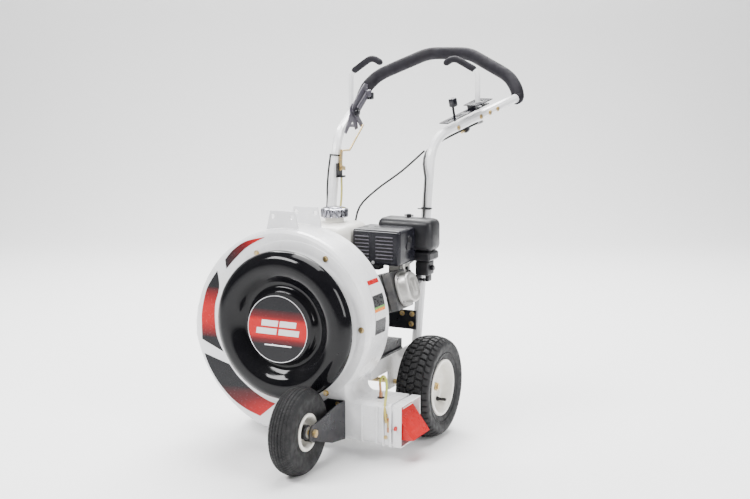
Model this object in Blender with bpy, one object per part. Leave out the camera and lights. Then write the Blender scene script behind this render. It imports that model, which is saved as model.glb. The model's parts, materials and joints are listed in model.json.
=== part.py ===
"""Walk behind leaf blower: a scroll fan driven by a petrol engine, on three wheels, with a push handle.

Metres, +Z up, the machine drives towards -Y and +X is its left side.
The origin is the middle of the machine's box, on the ground.
"""
import math

import bmesh
import bpy
from mathutils import Matrix, Vector

# ---------------------------------------------------------------- driving dimensions
GAP = 0.0003                  # clearance between pieces that touch
RUNNING = 0.0005              # radial clearance of a turning fit

FRONT_WHEEL_RADIUS = 0.130
FRONT_WHEEL_WIDTH = 0.086
FRONT_RIM_RADIUS = 0.056
FRONT_WHEEL_X = 0.084         # the front wheel stands off centre, beside the outlet
REAR_WHEEL_RADIUS = 0.161
REAR_WHEEL_WIDTH = 0.125
REAR_RIM_RADIUS = 0.0905
CARCASS = 0.009               # wall of a tyre
REAR_TRACK = 0.552            # between the middles of the rear tyres
AXLE_RADIUS = 0.008
HUB_RADIUS = 0.022
REAR_HUB_HALF = 0.019         # half the length of a rear hub, which sits deep in its rim

HOUSING_BACK = 0.340          # y of the back plate's outer face
HOUSING_DEPTH = 0.140
HOUSING_FRONT = HOUSING_BACK - HOUSING_DEPTH
FRONT_WHEEL_Y = HOUSING_FRONT - 0.200
REAR_AXLE_Y = HOUSING_BACK + 0.170
SHEET = 0.003
SHOULDER = 0.020              # radius of the front plate's rounded rim
FLANGE = 0.004                # straight lip behind the shoulder
FAN_X = -0.047
FAN_Z = 0.397
SCROLL_START_RADIUS = 0.260   # at the tongue
SCROLL_END_RADIUS = 0.363
SCROLL_START_ANGLE = -10.0    # degrees, the spiral grows from here
SCROLL_END_ANGLE = 190.0      # and keeps its radius from here to the floor
SCROLL_POWER = 2.3            # how late the spiral opens
CHUTE_FLOOR = 0.052
CHUTE_ROOF = 0.178
TONGUE_X = 0.142
TONGUE_FILLET = 0.022
CHUTE_END = 0.2815
INLET_RADIUS = 0.150
BOLT_CIRCLE = 0.243
RING_RADIUS = 0.252
BOLT_COUNT = 6
DISH_RADIUS = 0.229
DISH_STANDOFF = 0.052         # clear height between the front plate and the dish's rim
IMPELLER_RADIUS = 0.205
BLADE_COUNT = 8
SHAFT_RADIUS = 0.0127

BOX_START = 0.2915            # deflector box, beyond the open slot after the chute
BOX_END = 0.3185
DUCT_WALL = 2 * SHEET + 4 * GAP  # chute wall, clearance and sleeve wall
FLAP_HINGE_X = 0.302
FLAP_HINGE_Z = 0.113
FLAP_PIN_RADIUS = 0.004

DECK_Z = 0.288                # top of the engine deck
ENGINE_FRONT = HOUSING_BACK + 0.012
CYLINDER_TILT = 17.0          # degrees above the horizontal

TUBE_RADIUS = 0.016
TUBE_WALL = 0.0025
POST_SPREAD = 0.350           # between the middles of the handle posts
POST_FOOT = (0.625, 0.215)    # y and z of the post's lower end
POST_TOP = (0.750, 0.925)     # y and z of the bend
ARM_END = (0.302, 1.200, 1.042)
GRIP_RADIUS = 0.0215
HORN_RADIUS = 0.0105
HORN_SHARE = 0.54             # how far along the arm the horn stands
ROUND = 36                    # sides of a large round piece
TYRE_SIDES = 36               # a multiple of four, so that a flat meets the ground
RIM_SIDES = 24


# ---------------------------------------------------------------- making pieces
def material(name, colour, roughness, metallic=0.0):
    mat = bpy.data.materials.get(name) or bpy.data.materials.new(name)
    mat.use_nodes = True
    shader = mat.node_tree.nodes["Principled BSDF"]
    shader.inputs["Base Color"].default_value = (*colour, 1.0)
    shader.inputs["Roughness"].default_value = roughness
    shader.inputs["Metallic"].default_value = metallic
    return mat


def white_paint():
    return material("white_paint", (0.86, 0.86, 0.87), 0.28)


def black_paint():
    return material("black_paint", (0.02, 0.02, 0.022), 0.35)


def black_plastic():
    return material("black_plastic", (0.025, 0.025, 0.028), 0.45)


def rubber():
    return material("rubber", (0.018, 0.018, 0.018), 0.8)


def zinc():
    return material("yellow_zinc", (0.62, 0.45, 0.18), 0.35, 1.0)


def steel():
    return material("bare_steel", (0.55, 0.55, 0.56), 0.35, 1.0)


def aluminium():
    return material("cast_aluminium", (0.62, 0.61, 0.59), 0.45, 1.0)


def red_paint():
    return material("red_paint", (0.75, 0.02, 0.02), 0.3)


def foam():
    return material("foam_grip", (0.02, 0.02, 0.02), 0.9)


def cable_jacket(name="cable_jacket", colour=(0.015, 0.015, 0.015)):
    return material(name, colour, 0.4)


def place(name, mesh, mat, location=(0, 0, 0), rotation=(0, 0, 0), parent=None):
    obj = bpy.data.objects.new(name, mesh)
    bpy.context.scene.collection.objects.link(obj)
    obj.data.materials.append(mat)
    obj.location = location
    obj.rotation_euler = rotation
    obj.parent = parent or FRAME
    return obj


def empty(name, location):
    obj = bpy.data.objects.new(name, None)
    bpy.context.scene.collection.objects.link(obj)
    obj.location = location
    obj.parent = FRAME
    return obj


def to_mesh(name, bm, smooth=True):
    bmesh.ops.recalc_face_normals(bm, faces=bm.faces)
    mesh = bpy.data.meshes.new(name)
    bm.to_mesh(mesh)
    bm.free()
    if smooth:
        mesh.shade_smooth()
        mesh.set_sharp_from_angle(angle=math.radians(35))
    return mesh


def block_mesh(name, size, centre=(0, 0, 0)):
    bm = bmesh.new()
    bmesh.ops.create_cube(bm, size=1.0)
    bmesh.ops.scale(bm, vec=size, verts=bm.verts)
    bmesh.ops.translate(bm, vec=centre, verts=bm.verts)
    return to_mesh(name, bm)


def block(name, low, high, mat, bevel=0.0, parent=None, segments=1):
    size = [b - a for a, b in zip(low, high)]
    centre = [(a + b) / 2 for a, b in zip(low, high)]
    obj = place(name, block_mesh(name, size, centre), mat, parent=parent)
    if bevel:
        round_edges(obj, bevel, segments)
    return obj


def round_edges(obj, width, segments=1, angle=40):
    mod = obj.modifiers.new("rounded", "BEVEL")
    mod.width = width
    mod.segments = segments
    mod.limit_method = "ANGLE"
    mod.angle_limit = math.radians(angle)


def turned_mesh(name, profile, steps=ROUND, axis="Y"):
    """A closed (radius, along) profile turned about the axis."""
    bm = bmesh.new()
    ring = [bm.verts.new((r, 0, a)) for r, a in profile]
    loop = list(zip(ring, ring[1:])) + ([] if profile[0][0] == 0 else [(ring[-1], ring[0])])
    edges = [bm.edges.new(pair) for pair in loop]
    bmesh.ops.spin(bm, geom=ring + edges, cent=(0, 0, 0), axis=(0, 0, 1), angle=math.tau, steps=steps,
                   use_merge=True)
    bmesh.ops.remove_doubles(bm, verts=bm.verts, dist=1e-6)
    turn = {"Z": Matrix(), "X": Matrix.Rotation(math.pi / 2, 3, "Y"),
            "Y": Matrix.Rotation(-math.pi / 2, 3, "X")}[axis]
    bmesh.ops.transform(bm, matrix=turn.to_4x4(), verts=bm.verts)
    return to_mesh(name, bm)


def disc_profile(radius, start, end, hole=0.0):
    return [(hole, start), (radius, start), (radius, end), (hole, end)]


def rod(name, radius, start, end, mat, axis="X", parent=None, steps=16, location=(0, 0, 0), hole=0.0):
    return place(name, turned_mesh(name, disc_profile(radius, start, end, hole), steps, axis), mat,
                 location, parent=parent)


def sheet_mesh(name, outline, thickness, holes=(), plane="XZ"):
    """A flat plate: the outline and its holes filled, then given its thickness."""
    bm = bmesh.new()
    edges = []
    for loop in (outline, *holes):
        verts = [bm.verts.new((a, b, 0)) for a, b in loop]
        edges += [bm.edges.new((verts[i - 1], verts[i])) for i in range(len(verts))]
    bmesh.ops.triangle_fill(bm, use_beauty=True, use_dissolve=False, edges=edges)
    bmesh.ops.dissolve_limit(bm, angle_limit=0.01, verts=bm.verts, edges=bm.edges)
    bmesh.ops.triangulate(bm, faces=bm.faces)
    extra = bmesh.ops.extrude_face_region(bm, geom=bm.faces[:])
    moved = [v for v in extra["geom"] if isinstance(v, bmesh.types.BMVert)]
    bmesh.ops.translate(bm, vec=(0, 0, thickness), verts=moved)
    turn = {"XY": Matrix(), "XZ": Matrix(((1, 0, 0), (0, 0, 1), (0, 1, 0))),
            "YZ": Matrix(((0, 0, 1), (1, 0, 0), (0, 1, 0)))}[plane]
    bmesh.ops.transform(bm, matrix=turn.to_4x4(), verts=bm.verts)
    return to_mesh(name, bm)


def circle(cx, cz, radius, count):
    return [(cx + radius * math.cos(math.tau * i / count), cz + radius * math.sin(math.tau * i / count))
            for i in range(count)]


def arc(cx, cz, radius, start, end, count):
    angles = [math.radians(start + (end - start) * i / count) for i in range(count + 1)]
    return [(cx + radius * math.cos(a), cz + radius * math.sin(a)) for a in angles]


def tube(name, points, radius, mat, parent=None, resolution=3, bend=None, samples=10, wall=0.0):
    """A round bar, or with a wall a pipe, along the points; a bend radius turns each corner to an arc."""
    path = rounded_path(points, bend, samples) if bend else [Vector(p) for p in points]
    curve = bpy.data.curves.new(name, "CURVE")
    curve.dimensions = "3D"
    curve.bevel_depth = radius
    curve.bevel_resolution = resolution
    curve.use_fill_caps = wall == 0
    spline = curve.splines.new("POLY")
    spline.points.add(len(path) - 1)
    for point, place_at in zip(spline.points, path):
        point.co = (*place_at, 1.0)
    obj = place(name, curve, mat, parent=parent)
    if wall:
        thicken(obj, wall)
    return obj


def rounded_path(points, bend, samples):
    points = [Vector(p) for p in points]
    path = [points[0]]
    for before, corner, after in zip(points, points[1:], points[2:]):
        a = (before - corner).normalized()
        b = (after - corner).normalized()
        half = a.angle(b) / 2
        reach = min(bend / math.tan(half), (before - corner).length * 0.49, (after - corner).length * 0.49)
        radius = reach * math.tan(half)
        middle = corner + (a + b).normalized() * (radius / math.sin(half))
        start = corner + a * reach - middle
        end = corner + b * reach - middle
        for i in range(samples + 1):
            path.append(middle + turn_between(start, end, i / samples))
    path.append(points[-1])
    return path


def turn_between(start, end, share):
    angle = start.angle(end)
    return (start * math.sin((1 - share) * angle) + end * math.sin(share * angle)) / math.sin(angle)


def smooth_route(points, spacing):
    """A Catmull-Rom curve through the route's own points, read at about equal spacing."""
    pts = [Vector(p) for p in points]
    pts = [pts[0] * 2 - pts[1]] + pts + [pts[-1] * 2 - pts[-2]]
    out = [pts[1]]
    for p0, p1, p2, p3 in zip(pts, pts[1:], pts[2:], pts[3:]):
        count = max(1, round((p2 - p1).length / spacing))
        for i in range(1, count + 1):
            t = i / count
            out.append(0.5 * (2 * p1 + (p2 - p0) * t + (2 * p0 - 5 * p1 + 4 * p2 - p3) * t ** 2
                              + (3 * p1 - p0 - 3 * p2 + p3) * t ** 3))
    return out


def cord(name, points, radius, mat, spacing):
    return tube(name, smooth_route(points, spacing), radius, mat, resolution=2)


def join(obj, *others):
    """Union the other shapes into the first and drop them."""
    for other in others:
        combine(obj, other, "UNION")
    return obj


def cut(obj, *cutters):
    for cutter in cutters:
        combine(obj, cutter, "DIFFERENCE")
    return obj


def combine(obj, other, operation):
    other.hide_render = True
    other.display_type = "WIRE"
    mod = obj.modifiers.new(other.name, "BOOLEAN")
    mod.operation = operation
    mod.object = other


# ---------------------------------------------------------------- fan housing
def scroll_radius(angle):
    """The spiral: slow at first, then ever faster, then its radius stays."""
    share = (min(max(angle, SCROLL_START_ANGLE), SCROLL_END_ANGLE) - SCROLL_START_ANGLE) \
        / (SCROLL_END_ANGLE - SCROLL_START_ANGLE)
    return SCROLL_START_RADIUS + (SCROLL_END_RADIUS - SCROLL_START_RADIUS) * share ** SCROLL_POWER


def scroll_path(chute_end=CHUTE_END):
    """From the chute's floor end, clockwise round the scroll, down the tongue to the roof's end."""
    floor_angle = 180 + math.degrees(math.asin((FAN_Z - CHUTE_FLOOR) / SCROLL_END_RADIUS))
    tongue_angle = -math.degrees(math.acos((TONGUE_X - FAN_X) / SCROLL_START_RADIUS))
    path = [(chute_end, CHUTE_FLOOR), (TONGUE_X, CHUTE_FLOOR), (FAN_X, CHUTE_FLOOR)]
    steps = 44
    for i in range(steps + 1):
        angle = floor_angle + (tongue_angle - floor_angle) * i / steps
        radius = scroll_radius(angle)
        path.append((FAN_X + radius * math.cos(math.radians(angle)),
                     FAN_Z + radius * math.sin(math.radians(angle))))
    path += arc(TONGUE_X + TONGUE_FILLET, CHUTE_ROOF + TONGUE_FILLET, TONGUE_FILLET, 180, 270, 4)
    path.append((chute_end, CHUTE_ROOF))
    return path


def inset_path(path, distance):
    """The open path moved inwards, square to itself at every point."""
    out = []
    for i, (x, z) in enumerate(path):
        before = Vector(path[max(i - 1, 0)])
        after = Vector(path[min(i + 1, len(path) - 1)])
        here = Vector((x, z))
        normals = []
        for a, b in ((before, here), (here, after)):
            run = b - a
            if run.length > 1e-9:
                normals.append(Vector((run.y, -run.x)).normalized())
        normal = sum(normals, Vector((0, 0))).normalized()
        stretch = 1 / max(normal.dot(normals[0]), 0.5)
        out.append((x + normal.x * distance * stretch, z + normal.y * distance * stretch))
    return out


def strip(bm, rings):
    for ring, following in zip(rings, rings[1:]):
        for a, b, c, d in zip(ring, ring[1:], following[1:], following):
            bm.faces.new((a, b, c, d))


def make_housing():
    paint = white_paint()
    path = scroll_path()
    back = HOUSING_BACK

    # front plate: flat with the inlet hole, and a rounded shoulder that meets the scroll
    bm = bmesh.new()
    rings = []
    profile = [(SHOULDER * (1 - math.sin(turn)), SHOULDER * (1 - math.cos(turn)))
               for turn in (math.pi / 2 * i / 3 for i in range(4))] + [(0, SHOULDER + FLANGE)]
    for inset, depth in profile:
        rings.append([bm.verts.new((x, HOUSING_FRONT + depth, z)) for x, z in inset_path(path, inset)])
    strip(bm, rings)
    flat = rings[0]
    edges = [bm.edges.get((a, b)) for a, b in zip(flat, flat[1:])] + [bm.edges.new((flat[-1], flat[0]))]
    hole = [bm.verts.new((x, HOUSING_FRONT, z)) for x, z in circle(FAN_X, FAN_Z, INLET_RADIUS, ROUND)]
    edges += [bm.edges.new((hole[i - 1], hole[i])) for i in range(ROUND)]
    bmesh.ops.triangle_fill(bm, use_beauty=True, use_dissolve=False, edges=edges)
    front = place("fan_housing_front", oriented_sheet("fan_housing_front", bm), paint)
    thicken(front, SHEET)

    # scroll wall and chute floor and roof, between the two plates
    bm = bmesh.new()
    rings = [[bm.verts.new((x, depth, z)) for x, z in path]
             for depth in (HOUSING_FRONT + SHOULDER + FLANGE + GAP, back - SHEET - GAP)]
    strip(bm, rings)
    scroll = place("fan_housing_scroll", oriented_sheet("fan_housing_scroll", bm), paint)
    thicken(scroll, SHEET)

    plate = sheet_mesh("fan_housing_back", path, SHEET, [circle(FAN_X, FAN_Z, SHAFT_RADIUS + 0.018, 20)])
    place("fan_housing_back", plate, paint, (0, back - SHEET, 0))

    # flat ring round the inlet, with its bolts
    ring = turned_mesh("inlet_ring", disc_profile(RING_RADIUS, 0, SHEET, INLET_RADIUS - 0.004))
    ring = place("inlet_ring", ring, paint, (FAN_X, HOUSING_FRONT - SHEET - GAP, FAN_Z))
    bolts = []
    for i in range(BOLT_COUNT):
        angle = math.tau * i / BOLT_COUNT
        bolts.append(rod("inlet_bolt_%d" % i, 0.008, -0.006, 0.001, zinc(), "Y", steps=6, location=(
            FAN_X + BOLT_CIRCLE * math.cos(angle), HOUSING_FRONT - SHEET - GAP,
            FAN_Z + BOLT_CIRCLE * math.sin(angle))))
    join(ring, *bolts)

    lugs = (("lift_tab_front", HOUSING_FRONT + 0.030, -0.150, -0.040, 0.732),
            ("lift_tab_rear", back - SHEET - GAP - 0.0065, -0.125, -0.015, 0.735))
    for name, depth, left, right, top in lugs:
        place(name, lift_tab(name, left, right, top), paint, (0, depth, 0))


def oriented_sheet(name, bm):
    """An open sheet whose faces point away from the fan's axis and towards the front."""
    bmesh.ops.recalc_face_normals(bm, faces=bm.faces)
    middle = Vector((FAN_X, HOUSING_FRONT + HOUSING_DEPTH / 2, FAN_Z))
    out = sum(f.normal.dot(f.calc_center_median() - middle) * f.calc_area() for f in bm.faces)
    if out < 0:
        bmesh.ops.reverse_faces(bm, faces=bm.faces)
    mesh = bpy.data.meshes.new(name)
    bm.to_mesh(mesh)
    bm.free()
    mesh.shade_smooth()
    mesh.set_sharp_from_angle(angle=math.radians(35))
    return mesh


def thicken(obj, thickness):
    mod = obj.modifiers.new("sheet", "SOLIDIFY")
    mod.thickness = thickness
    mod.offset = -1
    mod.use_even_offset = True


def lift_tab(name, left, right, top):
    """A lifting lug: straight foot following the scroll, sloped sides, a slot near each end."""
    def on_scroll(x):
        angle = 90.0
        for _ in range(20):
            radius = scroll_radius(angle) + GAP * 4
            angle = math.degrees(math.acos((x - FAN_X) / radius))
        return FAN_Z + radius * math.sin(math.radians(angle))

    count = 6
    foot = [(left + (right - left) * i / count) for i in range(count + 1)]
    outline = [(x, on_scroll(x) + 0.001) for x in foot] + [(right - 0.012, top), (left + 0.014, top)]
    slots = [stadium(x, top - 0.017, 0.007, 0.016) for x in (left + 0.022, right - 0.020)]
    return sheet_mesh(name, outline, 0.006, slots)


def stadium(cx, cz, radius, length):
    half = length / 2 - radius
    return arc(cx, cz + half, radius, 0, 180, 5) + arc(cx, cz - half, radius, 180, 360, 5)


# ---------------------------------------------------------------- inlet dish and fan
def make_inlet():
    rim = HOUSING_FRONT - SHEET - GAP - DISH_STANDOFF
    guard_radius = INLET_RADIUS + 0.024
    height = DISH_STANDOFF - 0.006
    slots = []
    guard = turned_mesh("inlet_guard", disc_profile(guard_radius, -height, -GAP, guard_radius - 0.003))
    guard = place("inlet_guard", guard, black_paint(), (FAN_X, HOUSING_FRONT - SHEET - GAP, FAN_Z))
    for i in range(6):
        slots.append(place("guard_slot_%d" % i, block_mesh("slot", (0.420, 0.020, 0.052)), black_paint(),
                           (FAN_X, HOUSING_FRONT - SHEET - 0.026, FAN_Z), (0, math.pi * i / 6, 0)))
    cut(guard, *slots)

    # the dish: rolled rim, fat outer bulge, a sunk ring and a round boss in the middle
    wall = 0.004
    face = [(0, -0.012), (0.102, -0.012), (0.112, -0.008), (0.118, 0.004), (0.134, 0.006),
            (0.144, -0.004), (0.156, -0.018), (0.176, -0.027), (0.200, -0.027), (0.217, -0.017),
            (DISH_RADIUS - 0.002, -0.006), (DISH_RADIUS, 0.006)]
    inner = [(max(r - (wall if r > 0.18 else 0), 0), a + wall + 0.001) for r, a in reversed(face[:-1])]
    profile = face + [(DISH_RADIUS - wall, 0.006)] + inner
    dish = turned_mesh("inlet_dish", profile, 36)
    place("inlet_dish", dish, material("gloss_black", (0.008, 0.008, 0.009), 0.08),
          (FAN_X, rim, FAN_Z))


def make_fan(body):
    """Backplate, hub and straight radial blades leaning back, keyed to the crankshaft."""
    middle = HOUSING_BACK
    plate_back = -0.022
    disc = disc_profile(IMPELLER_RADIUS, plate_back - 0.004, plate_back, SHAFT_RADIUS + GAP)
    wheel = turned_mesh("impeller", disc, 32)
    wheel = place("impeller", wheel, steel(), (0, middle - body.location.y, 0), parent=body)
    hub = rod("impeller_hub", 0.030, -0.075, plate_back - 0.001, steel(), "Y", body, 20,
              (0, middle - body.location.y, 0), SHAFT_RADIUS + GAP)
    blades = []
    for i in range(BLADE_COUNT):
        angle = math.tau * i / BLADE_COUNT
        mesh = block_mesh("blade", (IMPELLER_RADIUS - 0.030, 0.080, 0.004),
                          ((IMPELLER_RADIUS + 0.026) / 2, -0.0415 + plate_back, 0.0))
        blades.append(place("blade_%d" % i, mesh, steel(), (0, middle - body.location.y, 0),
                            (0, angle, 0), body))
    join(wheel, hub, *blades)

    crank = [(0, -0.082), (0.013, -0.082), (0.013, -0.0765), (SHAFT_RADIUS, -0.0765), (SHAFT_RADIUS, 0.190),
             (0.020, 0.190), (0.020, 0.210), (0, 0.210)]
    place("crankshaft", turned_mesh("crankshaft", crank, 20), steel(), (0, middle - body.location.y, 0),
          parent=body)


# ---------------------------------------------------------------- chute and deflector
def make_deflector(flap_axis):
    paint = white_paint()
    low = (BOX_START, HOUSING_FRONT, CHUTE_FLOOR)
    high = (BOX_END, HOUSING_BACK, CHUTE_ROOF)
    box = block("deflector_box", low, high, paint)
    # the sleeve slides into the chute and leaves the dark slot open between the two
    sleeve_gap = DUCT_WALL - SHEET
    corner = SHOULDER - SHEET - 0.003
    sleeve = block("deflector_sleeve", (CHUTE_END - 0.045, low[1] + sleeve_gap, low[2] + sleeve_gap),
                   (BOX_START + 0.020, high[1] - sleeve_gap, high[2] - sleeve_gap), paint, corner)
    bore = block("deflector_bore", (CHUTE_END - 0.070, low[1] + DUCT_WALL, low[2] + DUCT_WALL),
                 (BOX_START + 0.030, high[1] - DUCT_WALL, high[2] - DUCT_WALL), paint, corner - 0.001)
    mouth = block("deflector_mouth", (BOX_START + 0.003, low[1] + SHEET, low[2] + SHEET),
                  (BOX_END + 0.01, high[1] - SHEET, high[2] - SHEET), paint)
    pin_hole = rod("deflector_pin_hole", FLAP_PIN_RADIUS + RUNNING, -0.02, HOUSING_DEPTH + 0.02, paint, "Y",
                   location=(FLAP_HINGE_X, HOUSING_FRONT, FLAP_HINGE_Z), steps=16)
    join(box, sleeve)
    cut(box, bore, mouth, pin_hole)

    # the flap: a bent sheet round its pin, its nose out of the mouth
    width = HOUSING_DEPTH - 2 * (DUCT_WALL + 0.0015)
    nose = (0.052, -0.036)
    top_tail = (-0.008, 0.046)
    low_tail = (0.000, -0.040)
    thick = 0.0035
    outline = [top_tail, nose, low_tail, (low_tail[0], low_tail[1] + thick),
               (nose[0] - 0.012, nose[1] + thick), (top_tail[0] - 0.001, top_tail[1] - 0.005)]
    flap = place("deflector_flap", sheet_mesh("deflector_flap", outline, width), red_paint(),
                 (0, -width / 2, 0), parent=flap_axis)
    cheek_outline = [top_tail, nose, low_tail, (-0.006, -0.020), (-0.010, 0.020)]
    for share, name in ((-1, "flap_cheek_front"), (1, "flap_cheek_rear")):
        start = -width / 2 if share < 0 else width / 2 - thick
        cheek = place(name, sheet_mesh(name, cheek_outline, thick), red_paint(), (0, start, 0),
                      parent=flap_axis)
        join(flap, cheek)
    pin = rod("flap_pin", FLAP_PIN_RADIUS, -HOUSING_DEPTH / 2 - 0.006, HOUSING_DEPTH / 2 + 0.006,
              red_paint(), "Y", flap_axis, 16)
    join(flap, pin)


# ---------------------------------------------------------------- wheels
def tyre_profile(radius, width, rim):
    """Outer skin from bead to bead, then the inside of the carcass back again."""
    half = width / 2
    bead = half * 0.72
    belly = rim + (radius - rim) * 0.55
    outer = [(rim, bead), (rim + 0.012, half * 0.94), (belly, half), (radius - 0.018, half * 0.92),
             (radius - 0.005, half * 0.66), (radius, half * 0.34)]
    inner = [(rim, bead - CARCASS), (belly, half - CARCASS), (radius - CARCASS, half * 0.5)]
    return mirrored(outer) + mirrored(inner)[::-1]


def mirrored(side):
    return [(r, -a) for r, a in side] + [(r, a) for r, a in reversed(side)]


def rim_profile(rim, width, hub, hub_half):
    half = width / 2
    bead = half * 0.72
    return [(AXLE_RADIUS + RUNNING, -hub_half), (hub, -hub_half), (hub, -0.012),
            (rim - 0.016, -0.004), (rim - 0.012, -bead - 0.004), (rim - GAP, -bead - 0.004),
            (rim - GAP, bead + 0.004), (rim - 0.012, bead + 0.004), (rim - 0.016, 0.012),
            (hub, 0.004), (hub, hub_half), (AXLE_RADIUS + RUNNING, hub_half)]


def make_wheel(name, centre, radius, width, rim, hub, hub_half):
    axle = empty(name + "_spin", centre)
    tyre = turned_mesh(name + "_tyre", tyre_profile(radius, width, rim), TYRE_SIDES, "X")
    # turned half a side and let out, so that its flats lie at the tyre's radius
    half_side = math.pi / TYRE_SIDES
    let_out = 1 / math.cos(half_side)
    tyre.transform(Matrix.Diagonal((1, let_out, let_out, 1)) @ Matrix.Rotation(half_side, 4, "X"))
    place(name + "_tyre", tyre, rubber(), parent=axle)
    place(name + "_rim", turned_mesh(name + "_rim", rim_profile(rim, width, hub, hub_half), RIM_SIDES, "X"),
          white_paint(), parent=axle)
    return axle


def make_wheels():
    make_wheel("front", (FRONT_WHEEL_X, FRONT_WHEEL_Y, FRONT_WHEEL_RADIUS), FRONT_WHEEL_RADIUS,
               FRONT_WHEEL_WIDTH, FRONT_RIM_RADIUS, HUB_RADIUS - 0.004, FRONT_WHEEL_WIDTH * 0.40)
    for side, sign in (("left", 1), ("right", -1)):
        make_wheel("rear_" + side, (sign * REAR_TRACK / 2, REAR_AXLE_Y, REAR_WHEEL_RADIUS),
                   REAR_WHEEL_RADIUS, REAR_WHEEL_WIDTH, REAR_RIM_RADIUS, HUB_RADIUS, REAR_HUB_HALF)

    # rear axle with a nut outside each wheel
    reach = REAR_TRACK / 2 + REAR_HUB_HALF
    axle = rod("rear_axle", AXLE_RADIUS, -reach - 0.013, reach + 0.013, zinc(), "X",
               location=(0, REAR_AXLE_Y, REAR_WHEEL_RADIUS))
    for side, sign in (("left", 1), ("right", -1)):
        start = reach + 0.0008
        nut = rod("rear_nut_" + side, 0.0135, sign * start, sign * (start + 0.009), zinc(), "X", steps=6,
                  location=(0, REAR_AXLE_Y, REAR_WHEEL_RADIUS))
        join(axle, nut)

    # front fork: folded channel bolted to the chute's front wall
    cheek = 0.005
    inner = FRONT_WHEEL_WIDTH / 2 + 0.004
    web_back = HOUSING_FRONT - GAP
    low, high = CHUTE_FLOOR + 0.005, CHUTE_ROOF - 0.003
    cheek_back = web_back - cheek * 0.72
    side = [(cheek_back, low), (cheek_back, high), (web_back - 0.050, high)] \
        + arc(FRONT_WHEEL_Y, FRONT_WHEEL_RADIUS, 0.026, 75, 285, 8) + [(FRONT_WHEEL_Y + 0.110, low + 0.012)]
    left_cheek = FRONT_WHEEL_X + inner
    fork = place("front_fork", sheet_mesh("front_fork", side, cheek, plane="YZ"), black_paint(),
                 (left_cheek, 0, 0))
    other = place("fork_right_cheek", sheet_mesh("fork_right_cheek", side, cheek, plane="YZ"), black_paint(),
                  (FRONT_WHEEL_X - inner - cheek, 0, 0))
    right_edge = FRONT_WHEEL_X - inner - cheek / 2
    web_outline = [(right_edge, low), (left_cheek + cheek / 2, low), (left_cheek + cheek / 2, high),
                   (FRONT_WHEEL_X - 0.008, high), (right_edge, high - 0.030)]
    web = place("fork_web", sheet_mesh("fork_web", web_outline, cheek), black_paint(),
                (0, web_back - cheek, 0))
    bore = rod("fork_bore", AXLE_RADIUS + GAP, -0.08, 0.08, black_paint(), "X",
               location=(FRONT_WHEEL_X, FRONT_WHEEL_Y, FRONT_WHEEL_RADIUS))
    join(fork, web, other)
    cut(fork, bore)
    half = inner + cheek + GAP
    axle = rod("front_axle", AXLE_RADIUS, -half - 0.008, half + 0.008, zinc(), "X",
               location=(FRONT_WHEEL_X, FRONT_WHEEL_Y, FRONT_WHEEL_RADIUS))
    for sign in (1, -1):
        join(axle, rod("front_nut_%d" % sign, 0.012, sign * half, sign * (half + 0.007), zinc(), "X",
                       steps=6, location=(FRONT_WHEEL_X, FRONT_WHEEL_Y, FRONT_WHEEL_RADIUS)))


# ---------------------------------------------------------------- frame
def make_frame():
    back = HOUSING_BACK
    half = POST_SPREAD / 2
    rail_half = 0.012
    post_y = post_at(DECK_Z - 0.03)
    for side, sign in (("left", 1), ("right", -1)):
        x = sign * (half - TUBE_RADIUS - 0.010)
        rail = block("frame_rail_" + side, (x - 0.003, back + GAP, 0.205), (x + 0.003, post_y + 0.02, 0.255),
                     white_paint())
        web = block("axle_plate_" + side, (x - 0.003, REAR_AXLE_Y - 0.04, REAR_WHEEL_RADIUS - 0.018),
                    (x + 0.003, REAR_AXLE_Y + 0.04, 0.21), white_paint())
        foot = block("rail_foot_" + side, (x - 0.003 - (0.02 if sign > 0 else 0), back + GAP, 0.205),
                     (x + 0.003 + (0.02 if sign < 0 else 0), back + GAP + 0.005, 0.255), white_paint())
        hole = rod("axle_hole_" + side, AXLE_RADIUS + GAP, -0.02, 0.02, white_paint(), "X",
                   location=(x, REAR_AXLE_Y, REAR_WHEEL_RADIUS))
        join(rail, web, foot)
        cut(rail, hole)
    inner = half - TUBE_RADIUS - 0.010
    deck = block("engine_deck", (-inner + 0.003 + GAP, back + 0.012, DECK_Z - 0.030),
                 (inner - 0.003 - GAP, post_y - 0.050, DECK_Z), black_paint())
    hollow = block("deck_hollow", (-inner + 0.008, back, DECK_Z - 0.060),
                   (inner - 0.008, post_y, DECK_Z - 0.005), black_paint())
    cut(deck, hollow)
    lip = [block("deck_lip_%d" % s, (min(s * (inner + 0.0035), s * (inner - 0.004)), back + 0.03, 0.2556),
                 (max(s * (inner + 0.0035), s * (inner - 0.004)), post_y - 0.06, 0.262), black_paint())
           for s in (1, -1)]
    join(deck, *lip)
    plate_front = post_at(0.345) - TUBE_RADIUS - 0.017
    block("rear_cross_plate", (-half - 0.006, plate_front, 0.312),
          (half + 0.006, plate_front + 0.005, 0.375), black_paint())


def post_at(z):
    share = (z - POST_FOOT[1]) / (POST_TOP[1] - POST_FOOT[1])
    return POST_FOOT[0] + (POST_TOP[0] - POST_FOOT[0]) * share


# ---------------------------------------------------------------- engine
def cylinder_frame(distance, depth):
    """A point on the cylinder's centre line, at this distance from the crankshaft."""
    tilt = math.radians(CYLINDER_TILT)
    return (FAN_X + distance * math.cos(tilt), depth, FAN_Z + distance * math.sin(tilt))


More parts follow.
